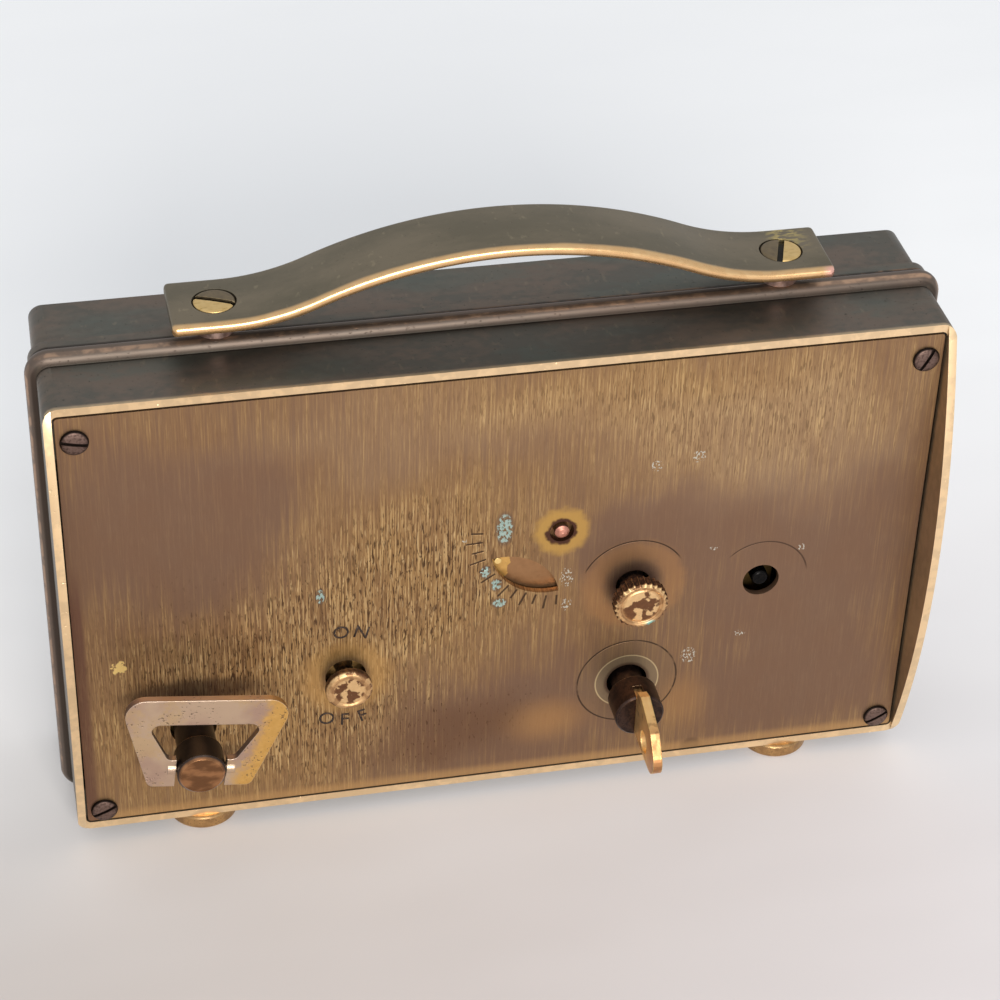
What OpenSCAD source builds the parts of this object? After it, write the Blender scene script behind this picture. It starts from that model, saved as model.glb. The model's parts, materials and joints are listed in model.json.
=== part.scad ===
// Musical alarm clock in a brass case shaped like a small portable radio.
// The dial and the sound grille face -Y. The flat back with its keys, knobs and screws faces +Y.
// Heights are measured from the underside of the case walls, and depths run forward
// from the outer face of the back. A slab or a rod is placed by its two depths.

/* [Case] */
// Width of the case over its side walls
case_w = 150; // [148:0.5:158]
// Height of the case over its top and bottom walls
case_h = 88.9; // [88:0.5:96]
// Depth of the case from its front face to the back plate
case_d = 30.7; // [30.7:0.1:34]
// Depth of the front shell
front_d = 12.4; // [11:0.1:13]
// Wall of the front shell
front_wall = 1.4; // [1:0.1:1.6]
// Wall of the rear shell, which shows as the bright rim
rear_wall = 1.4; // [1.4:0.1:2]
// Radius of the case's long corners
corner_r = 2.4; // [2.1:0.1:4]
// How far the side walls bow out behind the back plate
cheek_bow = 7.1; // [3:0.1:8]
// Width of the low step in front of the bead
collar_w = 2.3; // [1.5:0.1:3]
// How far the low step stands out
collar_out = 1; // [0.5:0.1:1.4]
// Width of the bead round the rear shell
bead_w = 3.8; // [3:0.1:4]
// How far the bead stands out
bead_out = 1.8; // [1.5:0.1:2.2]
// Length of the front shell's lip inside the rear shell
lip_len = 3; // [2:0.1:4]
// Thickness of that lip
lip_t = 0.7; // [0.5:0.1:0.8]
// Clearance between pieces that slide into each other
fit_gap = 0.12; // [0.08:0.01:0.2]

/* [Back plate] */
// Thickness of the back plate
back_t = 1.2; // [0.8:0.1:1.4]
// Dark gap between the back plate and the walls
back_gap = 0.4; // [0.15:0.05:0.5]
// Thickness of the corner lugs behind the plate
lug_t = 2; // [1.5:0.1:3]
// Size of the corner lugs
lug_w = 8; // [7:0.5:10]
// Distance of the plate screws from the case's sides
plate_screw_side = 4.7; // [4.4:0.1:5]
// Height of the lower plate screws
plate_screw_low = 4.2; // [4.1:0.1:4.6]
// Distance of the upper plate screws from the top
plate_screw_high = 6.4; // [4.4:0.1:7]
// Radius of a plate screw's head
plate_head_r = 2.35; // [2:0.05:2.5]
// Height of a plate screw's head
plate_head_h = 0.9; // [0.6:0.1:1.2]
// Radius of a plate screw's thread
plate_thread_r = 1.2; // [1:0.05:1.3]
// Radius of the posts that take the plate screws
case_post_r = 2.1; // [1.9:0.05:2.2]
// Length of a plate screw's thread
plate_thread_l = 7; // [5:0.5:9]

/* [Feet] */
// Radius of a foot
foot_r = 6.1; // [5:0.1:6.1]
// Height of a foot under the case walls
foot_h = 2.8; // [2.6:0.1:4]
// Distance of the feet from the middle
foot_x = 52.7; // [51:0.1:54]
// Depth of the rear feet
foot_rear_d = 5.2; // [4:0.1:5.2]
// Distance of the front feet from the front face
foot_front_d = 6.1; // [5.5:0.1:6.2]
// Radius of the studs of the feet
foot_stud_r = 1.25; // [1:0.05:1.4]

/* [Nuts and small screws] */
// Width across the flats of the nuts inside the case
nut_w = 5; // [4.6:0.1:5.2]
// Height of those nuts
nut_h = 1.8; // [1.4:0.1:2.2]
// Head radius of the movement screws
small_head_r = 1.5; // [1.2:0.05:1.7]
// Head height of the movement screws
small_head_h = 0.9; // [0.6:0.1:1]
// Thread radius of the movement screws
small_thread_r = 0.8; // [0.6:0.05:0.9]
// Thread length of the movement screws
small_thread_l = 4; // [3.5:0.1:5]
// Width of the screw slots
slot_w = 0.7; // [0.5:0.05:0.9]

/* [Handle] */
// Length of the handle strap
handle_len = 109.5; // [106:0.1:116]
// Width of the strap from front to back
handle_w = 14.2; // [11:0.1:15]
// Thickness of the strap
handle_t = 2; // [1.8:0.1:2.8]
// Depth of the strap's middle
handle_d = 16.2; // [15.8:0.1:16.2]
// Sideways place of the strap's middle
handle_x = -1.5; // [-3:0.1:3]
// Distance between the two handle screws
handle_screw_gap = 94.6; // [93:0.1:96]
// Height of the spacers under the strap
spacer_h = 3.2; // [1:0.1:4]
// Radius of the spacers
spacer_r = 3.2; // [2.5:0.1:4]
// Rise of the hump over the strap's ends
hump_h = 9.3; // [8:0.1:10]
// Radius of the hump's top
hump_r = 82; // [76:1:88]
// Radius of the bends where the hump meets the flat ends
bend_r = 38; // [30:1:42]
// Radius of the corners at the strap's ends
handle_corner_r = 0.8; // [0.4:0.1:3]
// Radius of a handle screw's head
handle_head_r = 3.4; // [3:0.1:4]
// Height of a handle screw's head
handle_head_h = 1.3; // [1.2:0.1:1.8]
// Depth of the seat that sinks the head into the strap
handle_sink = 1; // [0.6:0.1:1.2]
// Gap between the head and the wall of its seat
handle_sink_gap = 0.25; // [0.1:0.05:0.4]
// Radius of a handle screw's thread
handle_thread_r = 1.4; // [1.2:0.05:1.6]

/* [Dial] */
// Distance of the hands' axis from the middle
time_x = 22.5; // [22:0.1:23.5]
// Height of the hands' axis
time_z = 41.2; // [41:0.1:41.6]
// Radius of the dial plate
dial_r = 32; // [31:0.1:33]
// Thickness of the dial plate
dial_t = 0.6; // [0.4:0.1:0.8]
// Radius of the opening in the front for the dial
dial_open_r = 30; // [29:0.1:30.5]
// Outer radius of the bezel
bezel_r = 34.5; // [33.5:0.1:36]
// How far the bezel stands out of the front
bezel_h = 2.7; // [2.6:0.1:4]
// Thickness of the glass
glass_t = 1; // [0.8:0.1:1.1]
// Rise of the glass's dome
glass_dome = 0.7; // [0.3:0.1:0.8]
// Length of the minute hand
minute_len = 25; // [20:0.5:27]
// Length of the hour hand
hour_len = 17; // [12:0.5:20]
// Length of the alarm hand
alarm_len = 13; // [8:0.5:15]
// Thickness of each hand
hand_t = 0.3; // [0.2:0.05:0.35]

/* [Sound grille] */
// Distance of the grille's inner edge from the middle
grille_x = 18; // [17:0.5:20]
// Width of the grille
grille_w = 47; // [30:1:48]
// Height of the grille's lower edge
grille_z = 13; // [10:0.5:16]
// Height of the grille
grille_h = 62; // [40:1:66]
// Number of bars
grille_bars = 13; // [6:1:16]
// Width of one bar
grille_bar_w = 2.4; // [1.5:0.1:3]

/* [Clock movement] */
// Depth of the rear movement plate's rear face
rear_plate_d = 8.8; // [8.8:0.1:9]
// Thickness of the movement plates
clock_plate_t = 1.4; // [1.2:0.05:1.4]
// Room between the movement plates
clock_room = 9.6; // [9.6:0.1:9.8]
// Left edge of the movement plates, from the middle
clock_left = 50.5; // [50:0.5:54]
// Right edge of the movement plates, from the middle
clock_right = 5.5; // [5.5:0.1:6]
// Lower edge of the movement plates
clock_low = 4.5; // [4.2:0.1:4.8]
// Upper edge of the movement plates
clock_high = 72; // [71.5:0.5:76]
// Radius of the pillars
pillar_r = 2.2; // [1.8:0.1:2.4]
// Distance of the pillars from the plate edges
pillar_in = 3.5; // [3.4:0.1:3.8]
// Radius of the bosses that carry both movements
boss_r = 2.7; // [2.4:0.1:3]
// Radius of the small pivots
pivot_r = 0.5; // [0.4:0.05:0.6]
// Running clearance round a pivot
pivot_gap = 0.06; // [0.03:0.01:0.09]
// Radius of the small arbors
arbor_r = 0.8; // [0.7:0.05:0.9]
// Thickness of the train wheels
wheel_t = 0.7; // [0.5:0.05:0.8]

/* [Clock train] */
// Teeth of the mainspring barrel
barrel_n = 64; // [60:1:64]
// Leaves of the centre pinion
centre_leaves = 20; // [20:1:22]
// Teeth of the centre wheel
centre_n = 80; // [76:1:80]
// Tooth module of the centre wheel
centre_m = 0.3; // [0.28:0.01:0.3]
// Leaves of the third and fourth pinions
pinion_n = 10; // [9:1:10]
// Teeth of the third wheel
third_n = 75; // [70:1:75]
// Tooth module of the third wheel
third_m = 0.26; // [0.24:0.01:0.26]
// Teeth of the fourth wheel
fourth_n = 80; // [76:1:80]
// Tooth module of the fourth wheel
fourth_m = 0.22; // [0.21:0.01:0.22]
// Leaves of the escape pinion
escape_leaves = 8; // [8:1:8]
// Teeth of the escape wheel
escape_n = 15; // [12:1:15]
// Radius of the escape wheel
escape_r = 5.4; // [5:0.1:5.5]
// Radius of the barrel's drum
barrel_r = 15.2; // [14:0.1:15.4]
// Radius of the balance wheel
balance_r = 8.5; // [7:0.1:8.6]
// Radius of the hairspring's outer turn
hairspring_r = 5; // [4.5:0.1:5.2]
// Turns of the hairspring
hairspring_turns = 6; // [4:1:7]
// Turns of each mainspring
mainspring_turns = 6; // [4:1:8]
// Teeth of the ratchet wheel
ratchet_n = 24; // [18:1:30]
// Radius of the ratchet wheel
ratchet_r = 7; // [6:0.1:7.2]

/* [Motion work] */
// Distance from the hands' axis to the minute wheel
motion_gap = 8; // [7.6:0.1:8.2]
// Leaves of the cannon pinion
cannon_n = 12; // [12:1:14]
// Teeth of the minute wheel
minute_n = 36; // [36:12:36]
// Leaves of the minute pinion
minute_leaves = 10; // [10:1:10]
// Teeth of the hour wheel
hour_n = 40; // [40:10:40]
// Teeth of the alarm wheel
alarm_n = 60; // [54:1:60]
// Leaves of the alarm pinion
alarm_leaves = 20; // [18:1:20]
// Radius of the centre arbor
centre_r = 0.9; // [0.8:0.05:0.95]
// Wall of each nested pipe of the hands
pipe_wall = 0.5; // [0.45:0.05:0.6]

/* [Regulator] */
// Distance of the regulator's axis from the middle
regulator_x = 9.4; // [9:0.1:10]
// Height of the regulator's axis
regulator_z = 54.4; // [54:0.1:54.8]
// Radius of the regulator disc
regulator_r = 14.6; // [14.2:0.1:15]
// Radius of the arbor end that shows in the back
regulator_pin_r = 1.25; // [1:0.05:1.6]
// Radius of the hole round it
regulator_hole_r = 2.1; // [1.8:0.1:2.6]
// Half the length of the lens-shaped window
window_half = 7.25; // [7:0.05:7.6]
// Distance of the window's chord from the axis
window_mid = 10.4; // [10.3:0.05:10.5]
// Bulge of the window away from the axis
window_out = 2.95; // [2.7:0.05:3.1]
// Bulge of the window towards the axis
window_in = 3.1; // [2.6:0.05:3.2]
// Direction of the window's middle, from +X towards +Z
window_turn = -54.7; // [-60:0.1:-50]
// Distance of the lug from the axis
lug_out = 11.95; // [11.5:0.05:12.2]
// Radius of the lug that is pushed by hand
finger_lug_r = 0.6; // [0.4:0.05:0.7]
// Turn of the lug from the window's middle at rest
lug_turn = 30; // [20:1:30]

/* [Knobs and keys] */
// Height of the clock's winding key
wind_z = 19.6; // [19.5:0.1:19.8]
// Radius of the winding key's barrel
wind_barrel_r = 4.35; // [4:0.05:4.6]
// How far that barrel stands out of the back
wind_barrel_l = 9.6; // [8:0.1:11]
// Length of the barrel itself
wind_barrel_t = 5.6; // [5:0.1:6.5]
// Radius of the winding key's shank
wind_shank_r = 2.9; // [2.6:0.1:3.2]
// Radius of the plate hole round the winding key
wind_hole_r = 3.65; // [3.6:0.05:4]
// How far the wing stands out of the back
wing_out = 22.3; // [20:0.1:26]
// Thickness of the wing
wing_t = 1.6; // [1.2:0.1:2]
// Height of the wing above the key's axis
wing_up = 6.4; // [5:0.1:7]
// Depth of the wing below the key's axis
wing_down = 3.8; // [3:0.1:5]
// Radius of the hole in the wing
wing_hole_r = 2; // [1.5:0.1:2.2]
// Radius of the time-set knob
time_knob_r = 4.75; // [4.4:0.05:5.2]
// Height of the knob's knurled head
time_knob_t = 3; // [2:0.1:3.5]
// How far the time-set knob stands out of the back
time_knob_out = 6.3; // [5:0.1:8]
// Number of ridges round the knob
knurl_n = 30; // [20:1:36]
// Radius of the knob's stem
time_stem_r = 2.3; // [2:0.1:2.6]
// Radius of the plate hole round the time-set stem
time_hole_r = 3.1; // [2.9:0.1:3.4]
// Distance of the alarm-set arbor from the middle
alarm_x = 45.5; // [45:0.1:46]
// Height of the alarm-set arbor
alarm_z = 39.1; // [38.8:0.1:39.4]
// Radius of the alarm-set arbor's bare end
alarm_end_r = 1.5; // [1.2:0.05:1.8]
// Radius of the plate hole round it
alarm_hole_r = 3.25; // [3:0.05:3.6]
// Distance of the pull knob from the middle
pull_x = 27.6; // [27.4:0.1:27.8]
// Height of the pull knob
pull_z = 28; // [28:0.1:28.1]
// Radius of the pull knob's head
pull_head_r = 4.05; // [3.6:0.05:4.4]
// Thickness of its head
pull_head_t = 2; // [1.4:0.1:2.2]
// How far the pull knob stands out when it is pushed in
pull_out = 4.2; // [3.6:0.1:5]
// Radius of the pull knob's rod
pull_rod_r = 1.5; // [1.5:0.05:1.6]
// Travel of the pull knob
pull_travel = 3; // [2.5:0.1:3]
// Radius of the plate hole round the pull knob
pull_hole_r = 3.55; // [3:0.05:3.8]
// Distance of the music key from the middle
music_x = 54.1; // [54:0.1:54.2]
// Height of the music key
music_z = 20.6; // [20.4:0.1:20.8]
// Radius of the music key's barrel
music_barrel_r = 4.15; // [3.9:0.05:4.4]
// Radius of the music key's shank
music_shank_r = 3.4; // [3:0.1:3.6]
// Radius of the plate hole round the music key
music_hole_r = 4; // [3.9:0.05:4.4]
// How far the shank stands out of the back
music_shank_l = 7; // [5.5:0.1:7.6]
// How far the barrel stands out of the back
music_barrel_l = 12.6; // [12:0.1:14]
// Turn of the music key at rest, seen from behind
music_turn = 7.5; // [0:0.5:20]
// How far the loop's plane stands out of the back
loop_out = 10.3; // [9.8:0.1:11]
// Thickness of the loop
loop_t = 1.3; // [1.3:0.05:1.5]
// Half the loop's width at its top
loop_top = 13.6; // [12:0.1:14]
// Half the loop's width at its bottom
loop_bottom = 9.1; // [9:0.1:10]
// Rise of the loop over its hinge
loop_up = 15.05; // [14:0.05:16]
// Drop of the loop under its hinge
loop_down = 3.6; // [3:0.1:4]
// Radius of the loop's upper corners
loop_corner_r = 3.4; // [2:0.1:4]
// Width of the loop's bars
loop_bar = 4.6; // [4:0.1:4.8]
// Radius of the loop's hinge pin
loop_pin_r = 0.4; // [0.3:0.02:0.42]
// Radius of the winding squares and arbors in the keys
key_arbor_r = 1.6; // [1.4:0.05:1.7]

/* [Music movement] */
// Depth of the bedplate's rear face
bed_d = 3.2; // [3.2:0.1:3.4]
// Thickness of the bedplate
bed_t = 1.8; // [1.6:0.1:1.8]
// Left edge of the bedplate
bed_left = 7.2; // [7.1:0.1:7.4]
// Right edge of the bedplate
bed_right = 71.8; // [71.6:0.1:72]
// Lower edge of the bedplate
bed_low = 5.2; // [5:0.1:5.4]
// Upper edge of the bedplate
bed_high = 48.5; // [48.5:0.5:54]
// Distance of the bedplate screws from its edges
bed_screw_in = 3.4; // [3.2:0.1:3.6]
// Radius of the spring drum
drum_r = 10.8; // [10.6:0.05:10.8]
// Height of the spring drum
drum_h = 8; // [7.8:0.1:8]
// Number of face teeth on the drum
crown_n = 39; // [39:1:39]
// Height of the drum's face teeth
crown_h = 1.15; // [1.1:0.05:1.2]
// Length of the drum's face teeth
crown_w = 1.6; // [1.2:0.1:1.6]
// Teeth of the small gear on the cylinder
cylinder_leaves = 16; // [16:1:16]
// Tooth module of that gear
crown_m = 0.5; // [0.5:0.01:0.5]
// Radius of the pinned cylinder
cylinder_r = 6; // [5.6:0.1:6]
// Length of the pinned cylinder
cylinder_l = 22; // [21:0.5:22]
// Wall of the pinned cylinder
cylinder_wall = 0.6; // [0.4:0.1:1]
// Height of the pins
pin_h = 0.4; // [0.2:0.05:0.4]
// Number of pins on the cylinder
pin_count = 72; // [36:18:90]
// Teeth of the large wheel on the cylinder
drive_n = 48; // [48:1:48]
// Tooth module of that wheel
drive_m = 0.3; // [0.3:0.01:0.3]
// Leaves of the governor pinion
governor_leaves = 10; // [10:1:10]
// Teeth of the worm wheel
worm_n = 24; // [24:1:24]
// Radius of the worm wheel
worm_wheel_r = 5; // [5:0.1:5]
// Mean radius of the worm
worm_r = 1.6; // [1.6:0.1:1.6]
// Radius of the governor's fan
fan_r = 3.4; // [2.8:0.1:3.4]
// Teeth of the comb
comb_n = 18; // [15:1:20]
// Width of the comb
comb_w = 20; // [18:0.5:20.5]
// Thickness of the comb
comb_t = 1; // [0.8:0.1:1.2]

/* [Hidden] */

brass = "#b8934f";
worn_brass = "#8a6f49";
bright_brass = "#d9b26a";
dark_metal = "#4d4038";
steel = "#9a9994";
nickel = "#b3a79c";

function polar(r, a) = [r * cos(a), r * sin(a)];
function turn_of(v) = atan2(v[1], v[0]);

// The origin lies under the middle of the whole object, on the plane of the feet.
rear_most = wing_out;
front_most = case_d + bezel_h;
shift_y = (front_most - rear_most) / 2;

// Case
joint_d = case_d - front_d;
in_w = case_w - 2 * rear_wall;
in_h = case_h - 2 * rear_wall;
in_r = corner_r - rear_wall;
lip_w = in_w - 2 * fit_gap;
lip_h = in_h - 2 * fit_gap;
lip_r = in_r - fit_gap;
front_in = case_d - front_wall;
cheek_r = (case_h * case_h / 4 + cheek_bow * cheek_bow) / (2 * cheek_bow);
bead_r = bead_w / 2;
bead_d = joint_d - collar_w - bead_r;
bead_in = bead_r - bead_out;
plate_w = in_w - 2 * back_gap;
plate_h = in_h - 2 * back_gap;
lug_d = back_t + lug_t;
plate_screw_x = case_w / 2 - plate_screw_side;
plate_screws = [for (s = [-1, 1], z = [plate_screw_low, case_h - plate_screw_high])
    [s * plate_screw_x, z]];
bead_top = case_h + bead_out;
strap_z = bead_top + spacer_h;
hump_reach = sqrt(pow(hump_r + bend_r, 2) - pow(hump_r + bend_r - hump_h, 2));
hump_lean = asin(hump_reach / (hump_r + bend_r));
handle_x2 = [handle_x - handle_screw_gap / 2, handle_x + handle_screw_gap / 2];
foot_front_y = case_d - foot_front_d;
foot_spots = [for (s = [-1, 1], d = [foot_rear_d, foot_front_y]) [s * foot_x, d]];
nut_r = nut_w / sqrt(3);
nut_room = nut_r + 0.6;

// Places of the axes in the back
time_p = [-time_x, time_z];
barrel_p = [-time_x, wind_z];
alarm_p = [-alarm_x, alarm_z];
regulator_p = [-regulator_x, regulator_z];
pull_p = [pull_x, pull_z];
music_p = [music_x, music_z];

// Depths of the clock movement
rear_in = rear_plate_d + clock_plate_t;
front_face_in = rear_in + clock_room;
front_face = front_face_in + clock_plate_t;
end_shake = 0.1;
pillar_spots = [for (x = [pillar_in - clock_left, clock_right - pillar_in],
    z = [clock_low + pillar_in, clock_high - pillar_in]) [x, z]];

// Clock train
great_m = 2 * (time_z - wind_z) / (barrel_n + centre_leaves);
third_turn = 160;
third_p = time_p + polar(centre_m * (centre_n + pinion_n) / 2, third_turn);
fourth_turn = 60;
fourth_p = third_p + polar(third_m * (third_n + pinion_n) / 2, fourth_turn);
escape_turn = 15;
escape_p = fourth_p + polar(fourth_m * (fourth_n + escape_leaves) / 2, escape_turn);
lever_turn = turn_of(regulator_p - escape_p);
anchor_in = escape_r + 0.6;
anchor_out = anchor_in + 0.8;
pallet_p = escape_p + polar(anchor_out + 0.4, lever_turn);
fork_l = norm(regulator_p - pallet_p) - 1.86;
impulse_r = 1.3;
great_d = front_face_in - 1.2;
drum_rear_d = rear_in + 1.6;
drum_wall = 0.7;
third_d = rear_in + 2.5;
fourth_d = rear_in + 4.9;
escape_d = rear_in + 7.1;
ratchet_d = rear_plate_d - 1.4;
ratchet_t = 1.2;
hub_r = 4;
click_p = barrel_p + [9.6, -5.2];
click_turn = turn_of(barrel_p - click_p);

// Balance, cock and regulator
balance_d = rear_plate_d - 1.6;
cock_d = rear_plate_d - 5.9;
cock_t = 1.4;
cock_foot_p = regulator_p + [-17, 4.1];
cock_turn = turn_of(cock_foot_p - regulator_p);
cock_seat = 2.9;
hairspring_d = cock_d + cock_t + 1.1;
hairspring_h = 0.8;
disc_d = 1.8;
disc_t = 0.8;

// Motion work
level_a = front_face + 0.6;
level_b = front_face + 1.9;
level_c = front_face + 3.2;
level_t = 0.8;
cannon_m = 2 * motion_gap / (cannon_n + minute_n);
hour_m = 2 * motion_gap / (minute_leaves + hour_n);
alarm_gap = norm(alarm_p - time_p);
alarm_turn = turn_of(alarm_p - time_p);
alarm_m = 2 * alarm_gap / (alarm_n + alarm_leaves);
minute_p = time_p - [0, motion_gap];
cannon_r = centre_r + pipe_wall;
hour_in = cannon_r + pivot_gap;
hour_out = hour_in + pipe_wall + 0.03;
alarm_in = hour_out + pivot_gap;
alarm_out = alarm_in + pipe_wall + 0.05;
dial_d = front_face + 5.1;
alarm_hand_d = front_face + 6;
hour_hand_d = front_face + 6.7;
minute_hand_d = front_face + 7.5;
arbor_end_d = front_face + 8.2;
dial_foot_r = 0.9;
dial_feet = [for (a = [45:90:315]) time_p + polar(26, a)];
sleeve_r = dial_open_r - fit_gap;
glass_r = sleeve_r - 0.8;
glass_d = case_d + bezel_h - glass_dome - glass_t - 0.1;
lever_p = [0.5, 50];
lever_tip = [9.5, 31];

// Music movement
bed_f = bed_d + bed_t;
bed_screws = [[bed_left + 5.3, bed_high - bed_screw_in], [20.5, bed_low + bed_screw_in],
    [bed_right - bed_screw_in, bed_low + bed_screw_in + 4],
    [bed_right - bed_screw_in, bed_high - bed_screw_in]];
drum_d = bed_f + 0.6;
drum_f = drum_d + drum_h;
crown_r = crown_n * crown_m / 2;
leaf_r = cylinder_leaves * crown_m / 2;
axis_d = drum_f + crown_h - 0.55 + leaf_r;
gear_x = music_x - crown_r;
bracket_t = 0.9;
right_bracket = music_x - drum_r - 0.3 - bracket_t;
cylinder_x = right_bracket - 0.3 - cylinder_l;
left_bracket = cylinder_x - 0.3 - bracket_t;
drive_x = left_bracket - 0.3 - 1.1;
drive_w = 1.1;
shaft_r = 0.8;
bracket_w = 6;
foot_l = 5.5;
governor_turn = -35;
cylinder_p = [-axis_d, music_z];
governor_p = cylinder_p + polar(drive_m * (drive_n + governor_leaves) / 2, governor_turn);
governor_x = drive_x - 3.75;
worm_gap = worm_wheel_r + worm_r + 0.4;
worm_y = governor_p[0] - worm_gap;
worm_lead = 2 * PI * (worm_wheel_r + 0.2) / worm_n;
worm_l = 8;
frame_x = 3;
frame_low = bed_low + 3.8;
frame_high = frame_low + 27.2;
fan_low = music_z + 3.4;
fan_high = frame_high - 1.6;
comb_x = cylinder_x + (cylinder_l - comb_w) / 2;
comb_d = axis_d - comb_t / 2;
comb_tip = music_z + cylinder_r + pin_h + 0.07;
comb_root = comb_tip + 12;
comb_z = comb_root + 1;
comb_h = 7;
pitch_x = (comb_w - 1.3) / (comb_n - 1);
stop_d = bed_f + 4.2;
stop_x = 19.5;
stop_z = pull_z;
stop_w = 2.6;
stop_arm = pull_x - stop_x;
rod_end = bed_f + 6.2;
loop_gap = music_barrel_r + fit_gap;
pin_l = loop_gap + 1.6;

// Places one piece in the shared frame.
module placed() {
    translate([0, shift_y, foot_h]) children();
}

// Extrudes a shape of the (x, z) plane between two depths.
module slab(d1, d2) {
    translate([0, -d1, 0]) rotate([90, 0, 0]) linear_extrude(d2 - d1) children();
}

// Extrudes a shape of the (y, z) plane between two x values.
module side_slab(x1, x2) {
    translate([x1, 0, 0]) rotate([90, 0, 90]) linear_extrude(x2 - x1) children();
}

// Rod along Y between two depths.
module rod(p, r, d1, d2) {
    translate([p[0], -d1, p[1]]) rotate([90, 0, 0]) cylinder(h = d2 - d1, r = r, $fn = 48);
}

// Rod along X at one point of the (y, z) plane.
module cross_rod(p, r, x1, x2) {
    translate([x1, p[0], p[1]]) rotate([0, 90, 0]) cylinder(h = x2 - x1, r = r, $fn = 48);
}

// Turned piece from a profile of radius and depth.
module turned(p, points) {
    translate([p[0], 0, p[1]]) rotate([90, 0, 0]) rotate_extrude($fn = 96) polygon(points);
}

// Rectangle with round corners that stands on the x axis.
module rounded(w, h, r) {
    translate([r - w / 2, 0]) square([w - 2 * r, h]);
    translate([-w / 2, r]) square([w, h - 2 * r]);
    for (x = [r - w / 2, w / 2 - r], z = [r, h - r]) {
        translate([x, z]) circle(r, $fn = 48);
    }
}

// The same rectangle drawn in from the outline of the case on every side.
module inset(w, h, r) {
    translate([0, (case_h - h) / 2]) rounded(w, h, r);
}

// Strip of one width with round ends between two points.
module link(a, b, w) {
    v = b - a;
    translate(a) rotate(turn_of(v)) translate([0, -w / 2]) square([norm(v), w]);
    for (p = [a, b]) translate(p) circle(w / 2, $fn = 32);
}

// Wheel outline with pointed teeth. A tooth is centred at the angle ph.
wheel_tooth = [[-0.3, -1.15], [-0.19, 0], [-0.07, 0.75], [0.07, 0.75], [0.19, 0], [0.3, -1.15]];
leaf_tooth = [[-0.22, -1.2], [-0.19, 0], [-0.1, 0.4], [0.1, 0.4], [0.19, 0], [0.22, -1.2]];
function toothed(n, m, ph, tooth) = [for (i = [0:n - 1], t = tooth)
    polar(n * m / 2 + t[1] * m, ph + (i + t[0]) * 360 / n)];
// Angle of a tooth of the second wheel that meshes with the first one, seen from the first one.
function meshed(alpha, ph, n1, n2) = alpha + 180 + 180 / n2 - (ph - alpha) * n1 / n2;

// Open spaces between the arms of a wheel.
module crossings(r1, r2, n, w) {
    difference() {
        circle(r2, $fn = 64);
        circle(r1, $fn = 48);
        for (i = [0:n - 1]) rotate(i * 360 / n) translate([0, -w / 2]) square([r2 + 1, w]);
    }
}

// Wheel of the train with a hub and arms.
module train_wheel(p, n, m, d, t, hub, arms) {
    at3(p) slab(d, d + t) difference() {
        polygon(toothed(n, m, 0, wheel_tooth));
        crossings(hub, n * m / 2 - 2.4 * m, arms, 1.1);
    }
}

module pinion(p, n, m, ph, d1, d2) {
    at3(p) slab(d1, d2) polygon(toothed(n, m, ph, leaf_tooth));
}

module at3(p) {
    translate([p[0], 0, p[1]]) children();
}

// Arbor that turns in both clock plates.
module train_arbor(p) {
    rod(p, arbor_r, rear_in + end_shake, front_face_in - end_shake);
    rod(p, pivot_r, rear_plate_d, front_face);
}

// Cheese-head screw. The head stands behind the depth d and the thread runs forward of it.
module slotted_screw(p, d, head_r, head_h, thread_r, thread_l, slot, turn) {
    difference() {
        union() {
            turned(p, [[0, d], [0, d - head_h], [head_r * 0.82, d - head_h],
                [head_r, d - head_h * 0.7], [head_r, d]]);
            rod(p, thread_r, d - 0.2, d + thread_l);
        }
        at3(p) slab(d - head_h - 1, d - head_h * 0.5) rotate(turn)
            translate([-head_r - 1, -slot / 2]) square([2 * head_r + 2, slot]);
    }
}

module movement_screw(p, d, turn) {
    slotted_screw(p, d, small_head_r, small_head_h, small_thread_r, small_thread_l, slot_w, turn);
}

// The same screw put in from the front, with its head in front of the depth d.
module front_screw(p, d, turn) {
    translate([0, -2 * d, 0]) mirror([0, 1, 0]) movement_screw(p, d, turn);
}

// Band that winds from one radius to another.
module spiral(r1, r2, turns, t, start) {
    steps = 30 * turns;
    inner = [for (i = [0:steps]) polar(r1 + (r2 - r1) * i / steps, start + 12 * i)];
    outer = [for (i = [steps:-1:0]) polar(r1 + t + (r2 - r1) * i / steps, start + 12 * i)];
    polygon(concat(inner, outer));
}

// Case

module bead() {
    y = -bead_d;
    x = case_w / 2 - bead_in;
    c = corner_r - bead_in;
    for (z = [bead_in, case_h - bead_in]) cross_rod([y, z], bead_r, c - x, x - c);
    for (s = [-1, 1]) translate([s * x, y, bead_in + c]) {
        cylinder(h = case_h - 2 * (bead_in + c), r = bead_r, $fn = 48);
    }
    for (k = [0:3]) translate([[1, -1, -1, 1][k] * (x - c), y,
        k < 2 ? case_h - bead_in - c : bead_in + c])
        rotate([90, 0, 0]) rotate(90 * k) rotate_extrude(angle = 90, $fn = 96)
        translate([c, 0]) circle(bead_r, $fn = 48);
}

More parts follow.
